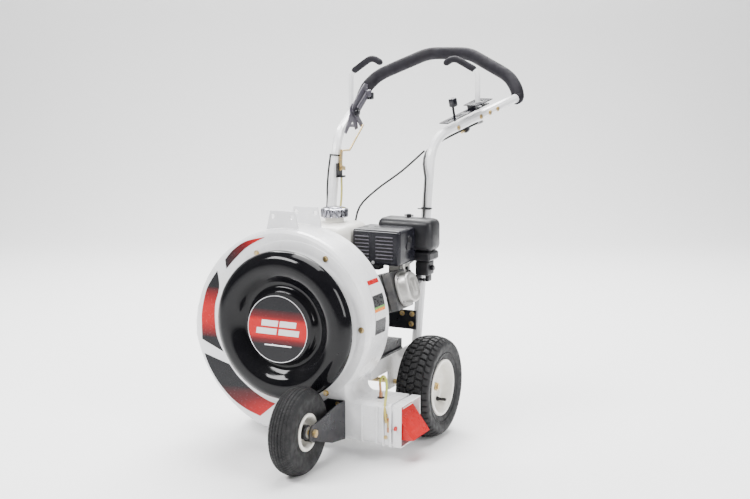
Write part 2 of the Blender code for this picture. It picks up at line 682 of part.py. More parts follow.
def make_engine():
    depth = ENGINE_FRONT + 0.148
    cast = aluminium()
    case = block("crankcase", (FAN_X - 0.095, ENGINE_FRONT, DECK_Z + GAP), (FAN_X + 0.085, 0.560, 0.500),
                 cast, 0.014, segments=2)
    bore = rod("crank_bore", SHAFT_RADIUS + RUNNING, -0.01, 0.05, cast, "Y",
               location=(FAN_X, ENGINE_FRONT, FAN_Z), steps=20)
    web_room = rod("crank_web_room", 0.0215, 0.170, 0.215, cast, "Y", location=(FAN_X, ENGINE_FRONT, FAN_Z),
                   steps=20)
    chamber = block("crank_chamber", (FAN_X - 0.080, ENGINE_FRONT + 0.015, DECK_Z + 0.015),
                    (FAN_X + 0.070, 0.545, 0.485), cast)
    cut(case, bore, web_room, chamber)

    tilt = (0, -math.radians(CYLINDER_TILT), 0)
    head = place("cylinder_block", block_mesh("cylinder_block", (0.137, 0.110, 0.120)), cast,
                 cylinder_frame(0.170, depth), tilt)
    fins = []
    for i in range(6):
        fins.append(place("fin_gap_%d" % i, block_mesh("fin_gap", (0.006, 0.150, 0.140)), cast,
                          cylinder_frame(0.130 + 0.016 * i, depth), tilt))
    core = place("cylinder_core", block_mesh("cylinder_core", (0.135, 0.086, 0.094)), cast,
                 cylinder_frame(0.170, depth), tilt)
    cut(head, *fins)
    join(head, core)
    trim = block("case_trim", (FAN_X - 0.2, 0.2, 0.2), (FAN_X + 0.0853, 0.8, 0.8), cast)
    cut(head, trim)

    lid = place("valve_cover", block_mesh("valve_cover", (0.042, 0.092, 0.106)), cast,
                  cylinder_frame(0.262, depth), tilt)
    round_edges(lid, 0.014, 2)

    guard_low, guard_high = (0.036, 0.440, 0.545), (0.202, 0.566, 0.660)
    guard = block("muffler_guard", guard_low, guard_high, black_paint(), 0.008)
    room = block("guard_room", [v + 0.003 for v in guard_low[:2]] + [guard_low[2] - 0.02],
                 [v - 0.003 for v in guard_high], black_paint(), 0.006)
    cut(guard, room)
    for i in range(5):
        cut(guard, block("louvre_%d" % i, (0.060, 0.43, 0.566 + 0.016 * i), (0.178, 0.45, 0.572 + 0.016 * i),
                         black_paint()))
    cut(guard, rod("tailpipe_hole", 0.017, 0.18, 0.22, black_paint(), "X", location=(0, 0.503, 0.605)))
    muffler = block("muffler", (0.048, 0.456, 0.550), (0.186, 0.552, 0.645), steel(), 0.012, segments=2)
    join(muffler, rod("tailpipe", 0.013, 0.18, 0.2045, steel(), "X", location=(0, 0.503, 0.605)))
    join(muffler, block("exhaust_elbow", (0.080, 0.462, 0.530), (0.120, 0.500, 0.556), steel()))

    carb = block("carburetor", (0.100, 0.572, 0.490), (0.158, 0.622, 0.546), cast, 0.005)
    join(carb, block("intake_neck", (0.110, 0.5565, 0.492), (0.150, 0.575, 0.530), cast))
    join(carb, rod("float_bowl", 0.020, 0.462, 0.495, cast, "Z", location=(0.129, 0.597, 0)))

    base = block("air_cleaner_base", (0.066, 0.5725, 0.5465), (0.246, 0.650, 0.5765), black_plastic(), 0.006)
    cover = block("air_cleaner_cover", (0.060, 0.569, 0.577), (0.252, 0.656, 0.680), black_plastic(), 0.020,
                  segments=3)
    join(cover, rod("cover_nut", 0.008, 0.670, 0.692, steel(), "Z", location=(0.156, 0.612, 0), steps=12))

    cap_x, cap_y = -0.056, 0.500
    tank = block("fuel_tank", (-0.200, 0.362, 0.530), (0.030, 0.585, 0.668), white_paint(), 0.030,
                 segments=3)
    neck = rod("tank_neck", 0.030, 0.660, 0.684, white_paint(), "Z", location=(cap_x, cap_y, 0), steps=24)
    hollow = block("tank_hollow", (-0.197, 0.365, 0.533), (0.027, 0.582, 0.665), white_paint(), 0.027,
                   segments=2)
    mouth = rod("tank_mouth", 0.027, 0.650, 0.70, white_paint(), "Z", location=(cap_x, cap_y, 0), steps=24)
    strap = block("tank_bracket", (-0.130, 0.385, 0.500 + GAP), (0.020, 0.555, 0.5315), white_paint())
    join(tank, neck, strap)
    cut(tank, hollow, mouth)
    cap = empty("fuel_cap_turn", (cap_x, cap_y, 0.6844))
    cap_mesh = [(0, 0), (0.042, 0), (0.045, 0.004), (0.045, 0.026), (0.041, 0.031), (0.020, 0.033),
                (0, 0.033)]
    place("fuel_cap", turned_mesh("fuel_cap", cap_mesh, 28, "Z"),
          material("chrome", (0.75, 0.75, 0.76), 0.12, 1.0), parent=cap)

    # fan cowl and recoil starter at the rear
    cowl = turned_mesh("fan_cowl", disc_profile(0.102, 0, 0.030), 36)
    cowl = place("fan_cowl", cowl, black_plastic(), (FAN_X, 0.5604, FAN_Z))
    crank_room = rod("crank_room", 0.0225, -0.01, 0.02, black_plastic(), "Y",
                     location=(FAN_X, 0.5604, FAN_Z))
    cut(cowl, crank_room)
    starter = place("recoil_starter", turned_mesh("recoil_starter", disc_profile(0.090, 0, 0.022), 36),
                    black_plastic(), (FAN_X, 0.5908, FAN_Z))
    eyelet = block("rope_eyelet", (FAN_X - 0.092, 0.5912, FAN_Z + 0.030),
                   (FAN_X - 0.070, 0.6124, FAN_Z + 0.062), black_plastic())
    join(starter, eyelet)
    rope_line = (FAN_X, 0.602, FAN_Z + 0.046)
    cut(starter, rod("rope_bore", 0.0035, -0.110, -0.010, black_plastic(), "X", location=rope_line,
                     steps=12))
    pull = empty("recoil_pull", rope_line)
    handle = rod("recoil_handle", 0.0025, -0.100, -0.014, rubber(), "X", pull, 12)
    bar = block("recoil_bar", (-0.112, -0.010, -0.045), (-0.096, 0.012, 0.045), rubber(), 0.006, pull,
                segments=2)
    join(handle, bar)

    # fillers, taps and switches
    oil = empty("oil_cap_turn", (FAN_X + 0.0854, 0.400, 0.335))
    oil_mesh = turned_mesh("oil_cap", disc_profile(0.015, 0, 0.012), 16, "X")
    oil_cap = place("oil_cap", oil_mesh, black_plastic(), parent=oil)
    join(oil_cap, block("oil_cap_grip", (0.010, -0.003, -0.012), (0.022, 0.003, 0.012), black_plastic(),
                        parent=oil))

    place("spark_plug_cap", turned_mesh("spark_plug_cap", disc_profile(0.011, 0, 0.045), 14, "X"), rubber(),
                 cylinder_frame(0.205, depth - 0.0558), (0, 0, -math.radians(90)))

    for name, pivot, arm_end, knob_high in (
            ("choke", (0.1584, 0.585, 0.520), -0.026, (0.022, 0.006, -0.024)),
            ("fuel_tap", (0.1584, 0.608, 0.505), -0.024, (0.024, 0.006, -0.022))):
        turn = empty(name + "_turn", pivot)
        small = rod(name + "_lever", 0.005, 0, 0.006, black_plastic(), "X", turn, 12)
        join(small, block(name + "_arm", (0.003, -0.004, arm_end), (0.007, 0.004, 0.002), black_plastic(),
                          parent=turn),
             block(name + "_knob", (0.002, -0.006, -0.034), knob_high, black_plastic(), parent=turn))
    switch = empty("engine_switch_turn", (FAN_X - 0.0954, 0.520, 0.440))
    switch_mesh = rod("engine_switch", 0.012, -0.008, 0, material("red_plastic", (0.6, 0.03, 0.02), 0.4),
                      "X", switch, 16)
    join(switch_mesh, block("switch_bar", (-0.016, -0.003, -0.011), (-0.006, 0.003, 0.011), red_paint(),
                            parent=switch))


# ---------------------------------------------------------------- handle
def handle_points(sign):
    half = sign * POST_SPREAD / 2
    return [(half, *POST_FOOT), (half, *POST_TOP), (sign * ARM_END[0], ARM_END[1], ARM_END[2])]


def on_arm(sign, share, lift=0.0):
    """A point along the straight of the arm, raised square to it."""
    _, bend, end = [Vector(p) for p in handle_points(sign)]
    run = end - bend
    up = Vector((0, -run.z, run.y)).normalized()
    return bend + run * share + up * lift


def make_handle():
    paint = white_paint()
    for side, sign in (("left", 1), ("right", -1)):
        tube("handle_" + side, handle_points(sign), TUBE_RADIUS, paint, bend=0.11, samples=7, wall=TUBE_WALL)
        root = on_arm(sign, HORN_SHARE, TUBE_RADIUS + 0.0045)
        corner = Vector((root.x - sign * 0.001, root.y - 0.003, 1.151))
        peak = Vector((root.x - sign * 0.088, root.y - 0.010, 1.184))
        tip = Vector((root.x - sign * 0.126, root.y - 0.003, 1.162))
        tube("horn_grip_" + side, [root, corner, peak, tip], HORN_RADIUS, foam(), bend=0.018, samples=4,
             resolution=3)
    end = Vector(ARM_END)
    run = (end - on_arm(1, 0)).normalized()
    arch = [end + run * GAP, end + run * 0.018, end + Vector((-0.006, 0.028, 0.036)),
            end + Vector((-0.044, 0.053, 0.078)), end + Vector((-0.221, 0.111, 0.158))]
    other = [Vector((-p.x, p.y, p.z)) for p in reversed(arch)]
    tube("arch_grip", arch + other, GRIP_RADIUS, foam(), bend=0.008, samples=3, resolution=3)


def make_controls():
    # throttle: slotted plate on top of the left arm, the lever swings fore and aft
    plate_share, lever_share, plate_lift = 0.385, 0.268, 0.0170
    centre = on_arm(1, plate_share, TUBE_RADIUS + plate_lift)
    arm_length = (on_arm(1, 1.0) - on_arm(1, 0.0)).length
    run = (on_arm(1, 1.0) - on_arm(1, 0.0)).normalized()
    slope = math.atan2(run.z, run.y)
    swing = math.atan2(-run.x, run.y)
    lever_at = (lever_share - plate_share) * arm_length

    def panel(name, size, middle):
        return place(name, block_mesh(name, size, middle), black_paint(), centre, (slope, 0, swing))

    plate = panel("throttle_plate", (0.036, 0.236, 0.003), (0, 0, 0))
    join(plate, panel("throttle_riser", (0.034, 0.003, 0.016), (0, 0.040, 0.0075)),
         panel("throttle_wing", (0.062, 0.084, 0.003), (0, 0.080, 0.0150)))
    cut(plate, panel("throttle_slot", (0.008, 0.080, 0.02), (0, lever_at, 0)),
        rod("horn_hole", HORN_RADIUS + 0.004, -0.05, 0.08, black_paint(), "Z",
            location=on_arm(1, HORN_SHARE, TUBE_RADIUS)))
    pivot = on_arm(1, lever_share, TUBE_RADIUS + 0.0105)
    throttle = empty("throttle_turn", pivot)
    throttle.rotation_euler = (slope, 0, swing)
    stem = block("throttle_lever", (-0.002, -0.004, -0.005), (0.002, 0.004, 0.048), black_paint(),
                 parent=throttle)
    knob = block("throttle_knob", (-0.011, -0.008, 0.044), (0.011, 0.016, 0.074), black_plastic(), 0.005,
                 throttle, segments=2)
    join(stem, knob)

    # deflector control: a plate on the inner side of the right arm
    foot = on_arm(-1, 0.22)
    plate_x = -POST_SPREAD / 2 + TUBE_RADIUS + GAP * 2
    y, z = foot.y, foot.z
    pivot_up, pivot_ahead = 0.058, 0.020
    hook = [(-0.080, -0.016), (-0.068, -0.022), (-0.020, 0.020), (0.002, -0.012), (0.020, -0.008),
            (0.010, 0.040), (-0.002, 0.072), (-0.022, 0.080), (-0.038, 0.066), (-0.040, 0.046)]
    bracket = place("deflector_bracket", sheet_mesh("deflector_bracket", [(y + a, z + b) for a, b in hook],
                    0.003, plane="YZ"), black_paint(), (plate_x, 0, 0))
    spacer = rod("bracket_spacer", 0.006, foot.x + TUBE_RADIUS + 0.0012, plate_x + 0.001, black_paint(), "X",
                 steps=12, location=(0, y + 0.008, z + 0.002))
    join(bracket, spacer)
    lever_pos = Vector((plate_x + 0.003 + GAP * 2, y - pivot_ahead, z + pivot_up))
    lever_turn = empty("deflector_lever_turn", lever_pos)
    lever_outline = [(0.054, -0.062), (0.068, -0.060), (0.069, -0.050), (0.014, 0.000), (0.108, 0.066),
                     (0.106, 0.084), (0.086, 0.088), (0.036, 0.054), (-0.008, 0.014), (-0.013, -0.004),
                     (0.000, -0.013)]
    lever = place("deflector_lever", sheet_mesh("deflector_lever", lever_outline, 0.004, plane="YZ"),
                  white_paint(), parent=lever_turn)
    grip = block("lever_knob", (0.0005, 0.078, 0.040), (0.026, 0.098, 0.066), black_plastic(), 0.005,
                 lever_turn, segments=2)
    join(lever, grip)

    # rod down to the bell crank, which turns on the anchor plate fixed to the post
    post_face = -POST_SPREAD / 2 + TUBE_RADIUS + GAP
    anchor_plate = 0.004
    rod_top = lever_pos + Vector((0.004 + 0.0005 + 0.0006, 0.061, -0.056))
    crank_pos = Vector((post_face + anchor_plate + GAP * 2 + 0.003, post_at(0.818) - 0.001, 0.818))
    rod_turn = empty("rod_turn", rod_top)
    low_end = crank_pos + Vector((0.001, 0.008, 0.058)) - rod_top
    run_x = 0.0040
    tube("deflector_rod", [Vector((0, 0, 0)), Vector((run_x, 0, 0)),
                           Vector((run_x, low_end.y + 0.046, low_end.z - 0.002)),
                           Vector((run_x, low_end.y, low_end.z)), low_end], 0.0025, zinc(), rod_turn, 2)
    crank_turn = empty("bell_crank_turn", crank_pos)
    crank_outline = [(0.009, -0.008), (0.034, -0.012), (0.034, 0.000), (0.010, 0.008), (0.015, 0.060),
                     (0.001, 0.062), (-0.009, 0.006), (-0.006, -0.010)]
    crank = place("bell_crank", sheet_mesh("bell_crank", crank_outline, 0.003, plane="YZ"), zinc(),
                  (-0.003, 0, 0), parent=crank_turn)
    join(crank, rod("crank_bolt", 0.006, -0.001, 0.005, zinc(), "X", crank_turn, 6))
    anchor = block("cable_anchor", (post_face, post_at(0.80) - 0.020, 0.786),
                   (post_face + anchor_plate, post_at(0.80) + 0.020, 0.834), black_paint())
    join(anchor, block("anchor_ear", (post_face, post_at(0.80) - 0.010, 0.786),
                       (post_face + 0.020, post_at(0.80) + 0.012, 0.792), black_paint()))


# ---------------------------------------------------------------- cables
def make_cables():
    black = cable_jacket()
    yellow = cable_jacket("yellow_jacket", (0.55, 0.42, 0.10))
    left = POST_SPREAD / 2
    arm = [on_arm(1, share, -TUBE_RADIUS - 0.005) for share in (0.52, 0.40, 0.30, 0.20)]
    bend = [Vector((left - 0.012, 0.788, 0.900)), Vector((left - 0.0215, 0.752, 0.878)),
            Vector((left - 0.013, 0.714, 0.842))]
    post = [Vector((left, post_at(z) - TUBE_RADIUS - away, z))
            for z, away in ((0.800, 0.012), (0.750, 0.009), (0.700, 0.005), (0.640, 0.006))]
    cord("throttle_cable", arm + bend + post
         + [Vector((left - 0.004, 0.664, 0.580)), Vector((0.158, 0.656, 0.538)),
            Vector((0.135, 0.6275, 0.521))],
         0.003, black, 0.022)
    cord("stop_cable", [Vector((left - 0.024, 0.745, 0.885)), Vector((0.090, 0.700, 0.820)),
                        Vector((0.020, 0.655, 0.760)), Vector((-0.026, 0.622, 0.705)),
                        Vector((-0.040, 0.6105, 0.640))], 0.0025, black, 0.022)
    right = -left
    cord("deflector_cable", [Vector((right + 0.027, post_at(0.785) + 0.002, 0.7855)),
                             Vector((right + 0.027, 0.728, 0.730)), Vector((right + 0.027, 0.718, 0.680)),
                             Vector((right + 0.030, 0.680, 0.610)), Vector((right + 0.034, 0.622, 0.540))],
         0.003, yellow, 0.020)
    outer = right - TUBE_RADIUS - 0.0045
    cord("ignition_cable", [Vector((outer, post_at(0.862), 0.862)), Vector((outer, 0.722, 0.800)),
                            Vector((outer, 0.714, 0.745)), Vector((outer, 0.712, 0.690)),
                            Vector((right - 0.014, 0.672, 0.620)), Vector((right + 0.006, 0.640, 0.545))],
         0.0025, black, 0.022)
    loop = [(0.225, 0.062, CHUTE_ROOF + 0.0015), (0.227, 0.062, 0.205), (0.238, 0.055, 0.226),
            (0.258, 0.040, 0.218), (0.276, 0.020, 0.204), (0.2855, 0.003, 0.186), (0.2865, -0.0045, 0.160),
            (0.2865, -0.0045, 0.112)]
    cord("deflector_cable_loop", [Vector((x, HOUSING_FRONT + y, z)) for x, y, z in loop], 0.003, yellow,
         0.010)


# ---------------------------------------------------------------- assembly
def stand_on_origin(frame):
    """Move the frame so that the machine's box stands centred on the origin."""
    bpy.context.view_layer.update()
    graph = bpy.context.evaluated_depsgraph_get()
    low, high = Vector((9, 9, 9)), Vector((-9, -9, -9))
    for obj in bpy.context.scene.objects:
        if obj.type == "EMPTY" or obj.hide_render:
            continue
        shape = obj.evaluated_get(graph)
        mesh = shape.to_mesh()
        for vert in mesh.vertices:
            point = shape.matrix_world @ vert.co
            low = Vector(map(min, low, point))
            high = Vector(map(max, high, point))
        shape.to_mesh_clear()
    frame.location = (-(low.x + high.x) / 2, -(low.y + high.y) / 2, -low.z)
    bpy.context.view_layer.update()


for old in list(bpy.data.objects):
    bpy.data.objects.remove(old, do_unlink=True)

FRAME = bpy.data.objects.new("blower", None)
bpy.context.scene.collection.objects.link(FRAME)

make_housing()
make_inlet()
make_fan(empty("fan_spin", (FAN_X, HOUSING_BACK, FAN_Z)))
make_deflector(empty("flap_turn", (FLAP_HINGE_X, HOUSING_FRONT + HOUSING_DEPTH / 2, FLAP_HINGE_Z)))
make_wheels()
make_frame()
make_engine()
make_handle()
make_controls()
make_cables()
stand_on_origin(FRAME)
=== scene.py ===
import json
import math

import bmesh
import bpy
import numpy as np
from mathutils import Matrix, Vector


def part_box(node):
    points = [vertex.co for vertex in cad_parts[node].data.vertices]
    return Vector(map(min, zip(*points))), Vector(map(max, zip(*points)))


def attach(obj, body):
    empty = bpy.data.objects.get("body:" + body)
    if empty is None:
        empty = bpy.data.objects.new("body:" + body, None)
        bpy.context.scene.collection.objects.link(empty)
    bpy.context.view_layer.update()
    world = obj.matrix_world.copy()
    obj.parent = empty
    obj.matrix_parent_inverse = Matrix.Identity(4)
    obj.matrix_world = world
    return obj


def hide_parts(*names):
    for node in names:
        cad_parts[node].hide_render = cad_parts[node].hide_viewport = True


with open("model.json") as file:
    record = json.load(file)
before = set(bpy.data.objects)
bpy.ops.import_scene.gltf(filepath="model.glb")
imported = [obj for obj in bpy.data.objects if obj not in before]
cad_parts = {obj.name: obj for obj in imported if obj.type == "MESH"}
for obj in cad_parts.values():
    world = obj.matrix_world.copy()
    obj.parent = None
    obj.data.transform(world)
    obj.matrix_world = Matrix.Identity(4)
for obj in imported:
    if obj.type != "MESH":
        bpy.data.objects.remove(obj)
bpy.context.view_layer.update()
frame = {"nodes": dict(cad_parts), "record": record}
print("frame loaded:", len(frame["nodes"]), "nodes")

behaviour = frame["record"]["behaviour"]
bodyOf = {node: body for body, nodes in behaviour["bodies"].items() for node in nodes}

# Sizes below are in the machine's own frame: x from its middle, y back from the front axle.
frontWheelX = .084
tyreLow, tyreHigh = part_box("front_tyre")
machineOrigin = np.array([(tyreLow[0] + tyreHigh[0]) / 2 - frontWheelX, (tyreLow[1] + tyreHigh[1]) / 2, 0.0])


def at(x, y, z):
    return machineOrigin + np.array([x, y, z])


def centreOf(node):
    low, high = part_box(node)
    return (np.array(low) + np.array(high)) / 2


def placed(name, data):
    thing = bpy.data.objects.new(name, data)
    bpy.context.scene.collection.objects.link(thing)
    return thing


def gridPart(points, closeRows=False, closeColumns=True, material=0, uv=None):
    # quads between neighbours of a rows by columns grid; a closed direction joins its last to its first
    rows, columns = points.shape[:2]
    r, c = np.meshgrid(np.arange(rows if closeRows else rows - 1),
                       np.arange(columns if closeColumns else columns - 1), indexing="ij")
    nextRow, nextColumn = (r + 1) % rows, (c + 1) % columns
    faces = np.stack([r * columns + c, r * columns + nextColumn,
                      nextRow * columns + nextColumn, nextRow * columns + c], -1).reshape(-1, 4)
    return {"points": points.reshape(-1, 3), "faces": faces, "material": material,
            "uv": None if uv is None else uv.reshape(-1, 2)}


def curveThrough(points, count):
    # Catmull-Rom: a cubic between each pair of points, its slopes taken from their neighbours
    p = np.asarray(points, float)
    t = np.linspace(0, len(p) - 1, count)
    i = np.clip(t.astype(int), 0, len(p) - 2)
    f = (t - i)[:, None]
    before, a, b, after = p[np.maximum(i - 1, 0)], p[i], p[i + 1], p[np.minimum(i + 2, len(p) - 1)]
    return .5 * (2 * a + (b - before) * f + (2 * before - 5 * a + 4 * b - after) * f ** 2
                 + (3 * a - before - 3 * b + after) * f ** 3)


def evenly(path, spacing):
    # the same path again, read off at even steps of its length
    length = np.concatenate([[0], np.cumsum(np.linalg.norm(np.diff(path, axis=0), axis=1))])
    steps = np.linspace(0, length[-1], max(int(length[-1] / spacing), 2))
    return np.stack([np.interp(steps, length, path[:, k]) for k in range(3)], -1)


axisFrames = {
    "X": (np.array([1.0, 0, 0]), np.array([0, 1.0, 0]), np.array([0, 0, 1.0])),
    "Y": (np.array([0, 1.0, 0]), np.array([1.0, 0, 0]), np.array([0, 0, 1.0])),
    "Z": (np.array([0, 0, 1.0]), np.array([1.0, 0, 0]), np.array([0, 1.0, 0])),
}


def frameAlong(direction):
    # the direction at unit length and two more square to it and to each other
    along = np.asarray(direction, float) / np.linalg.norm(direction)
    helper = np.array([0, 0, 1.0]) if abs(along[2]) < .9 else np.array([1.0, 0, 0])
    side = np.cross(helper, along)
    side /= np.linalg.norm(side)
    return along, side, np.cross(along, side)


def turned(profile, centre, axis="Y", steps=96, change=None, material=0):
    # point = centre + along * a + (side cos t + up sin t) * r, where change(r, a, t) may bend r and a
    along, side, up = axisFrames[axis] if isinstance(axis, str) else frameAlong(axis)
    profile = np.asarray(profile, float)
    t = np.linspace(0, math.tau, steps, endpoint=False)[:, None]
    r, a = [np.broadcast_to(profile[:, k], (steps, len(profile))) for k in (0, 1)]
    if change:
        r, a = change(r, a, t)
    points = centre + a[..., None] * along + r[..., None] * (np.cos(t)[..., None] * side
                                                             + np.sin(t)[..., None] * up)
    return gridPart(points, closeRows=True, closeColumns=False, material=material)


def carried(path, section, up=(0, 0, 1), scale=None, material=0):
    # point = path(s) + (side * section x + lift * section y) * scale(s); both ends close on the path
    path, section = np.asarray(path, float), np.asarray(section, float)
    along = np.gradient(path, axis=0)
    along /= np.linalg.norm(along, axis=1)[:, None]
    side = np.cross(np.asarray(up, float), along)
    side /= np.linalg.norm(side, axis=1)[:, None]
    lift = np.cross(along, side)
    scale = np.ones(len(path)) if scale is None else np.asarray(scale, float)
    rings = path[:, None] + scale[:, None, None] * (section[None, :, :1] * side[:, None]
                                                    + section[None, :, 1:] * lift[:, None])
    ends = [np.repeat(path[k][None, None], rings.shape[1], 1) for k in (0, -1)]
    rings = np.concatenate([ends[0], rings, ends[1]])
    v, u = np.meshgrid(np.linspace(0, 1, rings.shape[1]), np.linspace(0, 1, len(rings)))
    return gridPart(rings, closeColumns=True, material=material, uv=np.stack([u, v], -1))


def ringSection(radius, sides=24):
    # point = (cos t, sin t) * radius
    t = np.linspace(0, math.tau, sides, endpoint=False)
    return np.stack([np.cos(t), np.sin(t)], -1) * radius


def roundedBox(low, high, radius, steps=5, warp=None, material=0):
    # each face's grid point q is pulled to: its nearest inner point + radius * unit(q - inner point)
    low, high = np.asarray(low, float), np.asarray(high, float)
    radius = min(radius, (high - low).min() / 2 * .999)
    inner = (low + radius, high - radius)
    line = [np.concatenate([np.linspace(low[k], inner[0][k], steps + 1),
                            np.linspace(inner[1][k], high[k], steps + 1)]) for k in range(3)]
    parts = []
    for k in range(3):
        i, j = [n for n in range(3) if n != k]
        gi, gj = np.meshgrid(line[i], line[j], indexing="ij")
        for face in (low[k], high[k]):
            q = np.empty(gi.shape + (3,))
            q[..., i], q[..., j], q[..., k] = gi, gj, face
            near = np.clip(q, inner[0], inner[1])
            out = q - near
            q = near + radius * out / np.linalg.norm(out, axis=-1)[..., None]
            parts.append(gridPart(warp(q) if warp else q, closeColumns=False, material=material))
    return parts


def hexBolt(centre, axis, radius=.0075, height=.006, washer=.01, material=0):
    # a washer, and a head whose radius is that of a hexagon at each turn, drawn in to a round top
    def sixSides(r, a, t):
        flat = math.cos(math.pi / 6) / np.cos((t + math.pi / 6) % (math.pi / 3) - math.pi / 6)
        head = (a > .0018) & (a < height * .9) & (r > 0)
        return np.where(head, r * flat, r), a
    profile = [(0, 0), (washer, 0), (washer, .0016), (radius * 1.01, .0017), (radius, .002),
               (radius, height * .8), (radius * .86, height), (0, height)]
    return turned(profile, centre, axis, 36, sixSides, material)


sameCorner = dict(made=2e-6, packed=2e-5)  # corners closer than this are joined


def addPiece(name, parts, materials, nodes=(), body="machine", angle=38):
    # parts joined into one mesh and hung on the given body; the nodes it replaces are hidden
    flat = []
    for part in parts:
        flat += part if isinstance(part, list) else [part]
    points = np.concatenate([part["points"] for part in flat])
    starts = np.cumsum([0] + [len(part["points"]) for part in flat])
    faces = np.concatenate([part["faces"] + start for part, start in zip(flat, starts)])
    mesh = bpy.data.meshes.new(name)
    mesh.from_pydata(points.tolist(), [], faces.tolist())
    mesh.polygons.foreach_set("material_index", np.concatenate(
        [np.full(len(part["faces"]), part["material"], np.int32) for part in flat]))
    if any(part["uv"] is not None for part in flat):
        uv = np.concatenate([part["uv"] if part["uv"] is not None else np.zeros((len(part["points"]), 2))
                             for part in flat])
        mesh.uv_layers.new(name="UVMap").data.foreach_set("uv", uv[faces.reshape(-1)].reshape(-1))
    bm = bmesh.new()
    bm.from_mesh(mesh)
    bmesh.ops.remove_doubles(bm, verts=bm.verts, dist=sameCorner["made"])
    bmesh.ops.recalc_face_normals(bm, faces=bm.faces)
    bm.to_mesh(mesh)
    bm.free()
    for material in materials:
        mesh.materials.append(finish[material])
    mesh.shade_smooth()
    mesh.set_sharp_from_angle(angle=math.radians(angle))
    piece = placed(name, mesh)
    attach(piece, body)
    if nodes:
        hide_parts(*nodes)


def refined(node, material, angle=32, grow=0.0):
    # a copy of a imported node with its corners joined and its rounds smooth; point = point + normal * grow
    mesh = bpy.data.meshes.new(node + "_surface")
    bm = bmesh.new()
    bm.from_mesh(frame["nodes"][node].data)
    bmesh.ops.remove_doubles(bm, verts=bm.verts, dist=sameCorner["packed"])
    bm.to_mesh(mesh)
    bm.free()
    mesh.materials.clear()
    mesh.materials.append(finish[material])
    for layer in list(mesh.attributes):
        if layer.name == "custom_normal":
            mesh.attributes.remove(layer)
    if grow:
        points, normals = np.empty((2, len(mesh.vertices) * 3), np.float32)
        mesh.vertices.foreach_get("co", points)
        mesh.vertex_normals.foreach_get("vector", normals)
        mesh.vertices.foreach_set("co", points + normals * np.float32(grow))
    mesh.polygons.foreach_set("material_index", np.zeros(len(mesh.polygons), np.int32))
    mesh.shade_smooth()
    mesh.set_sharp_from_angle(angle=math.radians(angle))
    piece = placed(node + "_surface", mesh)
    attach(piece, bodyOf[node])
    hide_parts(node)


# colours in patches, roughness from low to high, a fine bump, and dust that thins out with height
finishes = {
    "whitePaint": dict(base=(.8, .8, .81), second=(.72, .72, .735), rough=(.2, .34), patch=9,
                       grain=260, depth=.00012, coat=.35, dust=.1, dustColour=(.46, .43, .38)),
    "glossBlack": dict(base=(.003, .003, .004), second=(.005, .005, .006), rough=(.06, .12),
                       patch=14, grain=420, depth=.00002, specular=.22, dust=.02,
                       dustColour=(.1, .1, .09)),
    "blackPaint": dict(base=(.007, .007, .01), second=(.012, .012, .015), rough=(.26, .42),
                       patch=20, grain=520, depth=.00006, specular=.4, dust=.06,
                       dustColour=(.1, .095, .09)),
    "rimWhite": dict(base=(.78, .76, .7), second=(.7, .68, .62), rough=(.24, .38), patch=24,
                     grain=300, depth=.0001, coat=.25, dust=.12, dustColour=(.4, .36, .3)),
    "creamPlastic": dict(base=(.78, .76, .71), second=(.7, .68, .63), rough=(.26, .4), patch=18,
                         grain=500, depth=.00012, coat=.15),
    "leverGrey": dict(base=(.05, .046, .06), second=(.075, .07, .086), rough=(.3, .46), patch=60,
                      grain=700, depth=.00008),
    "satinBlack": dict(base=(.005, .005, .008), second=(.009, .009, .013), rough=(.16, .26),
                       patch=26, grain=260, depth=.00002, specular=.35, dust=.02,
                       dustColour=(.08, .08, .08)),
    "smokedChrome": dict(base=(.34, .34, .38), second=(.26, .26, .3), rough=(.07, .15), patch=60,
                         grain=500, depth=.00002, metallic=1.0),
    "copper": dict(base=(.62, .3, .16), second=(.5, .25, .15), rough=(.3, .45), patch=90,
                   grain=900, depth=.00005, metallic=1.0),
    "rubber": dict(base=(.0055, .0055, .0065), second=(.01, .01, .011), rough=(.5, .75), patch=30,
                   grain=700, depth=.0002, specular=.3, dust=.12, dustColour=(.06, .057, .053)),
    "mouldedBlack": dict(base=(.007, .007, .009), second=(.012, .012, .014), rough=(.3, .46),
                         patch=24, grain=1500, depth=.0001, specular=.35, dust=.05,
                         dustColour=(.09, .09, .085)),
    "foam": dict(base=(.006, .005, .008), second=(.009, .008, .012), rough=(.6, .8), patch=22,
                 grain=1900, depth=.0004, specular=.25, cells=True),
    "yellowZinc": dict(base=(.66, .47, .16), second=(.52, .42, .28), rough=(.26, .42), patch=120,
                       grain=900, depth=.00006, metallic=1.0),
    "bareSteel": dict(base=(.5, .5, .51), second=(.4, .39, .38), rough=(.28, .48), patch=60,
                      grain=1200, depth=.00006, metallic=1.0),
    "castAluminium": dict(base=(.6, .59, .57), second=(.47, .46, .44), rough=(.36, .58), patch=36,
                          grain=900, depth=.00035, metallic=.9),
    "darkCasting": dict(base=(.13, .13, .135), second=(.19, .185, .18), rough=(.4, .62), patch=36,
                        grain=900, depth=.0003, metallic=.6),
    "chrome": dict(base=(.78, .78, .8), second=(.7, .7, .72), rough=(.06, .14), patch=30,
                   grain=800, depth=.00002, metallic=1.0),
    "redPaint": dict(base=(.5, .003, .004), second=(.42, .002, .003), rough=(.18, .32), patch=16,
                     grain=420, depth=.00006, specular=.35),
    "redPlastic": dict(base=(.55, .02, .015), second=(.45, .015, .012), rough=(.3, .45), patch=30,
                       grain=900, depth=.00008),
    "cableBlack": dict(base=(.01, .01, .011), second=(.018, .018, .019), rough=(.34, .5),
                       patch=60, grain=900, depth=.00008),
    "cableYellow": dict(base=(.5, .43, .1), second=(.4, .36, .14), rough=(.34, .5), patch=90,
                        grain=900, depth=.00008),
}
dustTop = .45  # dust is thinnest from this height up, in metres


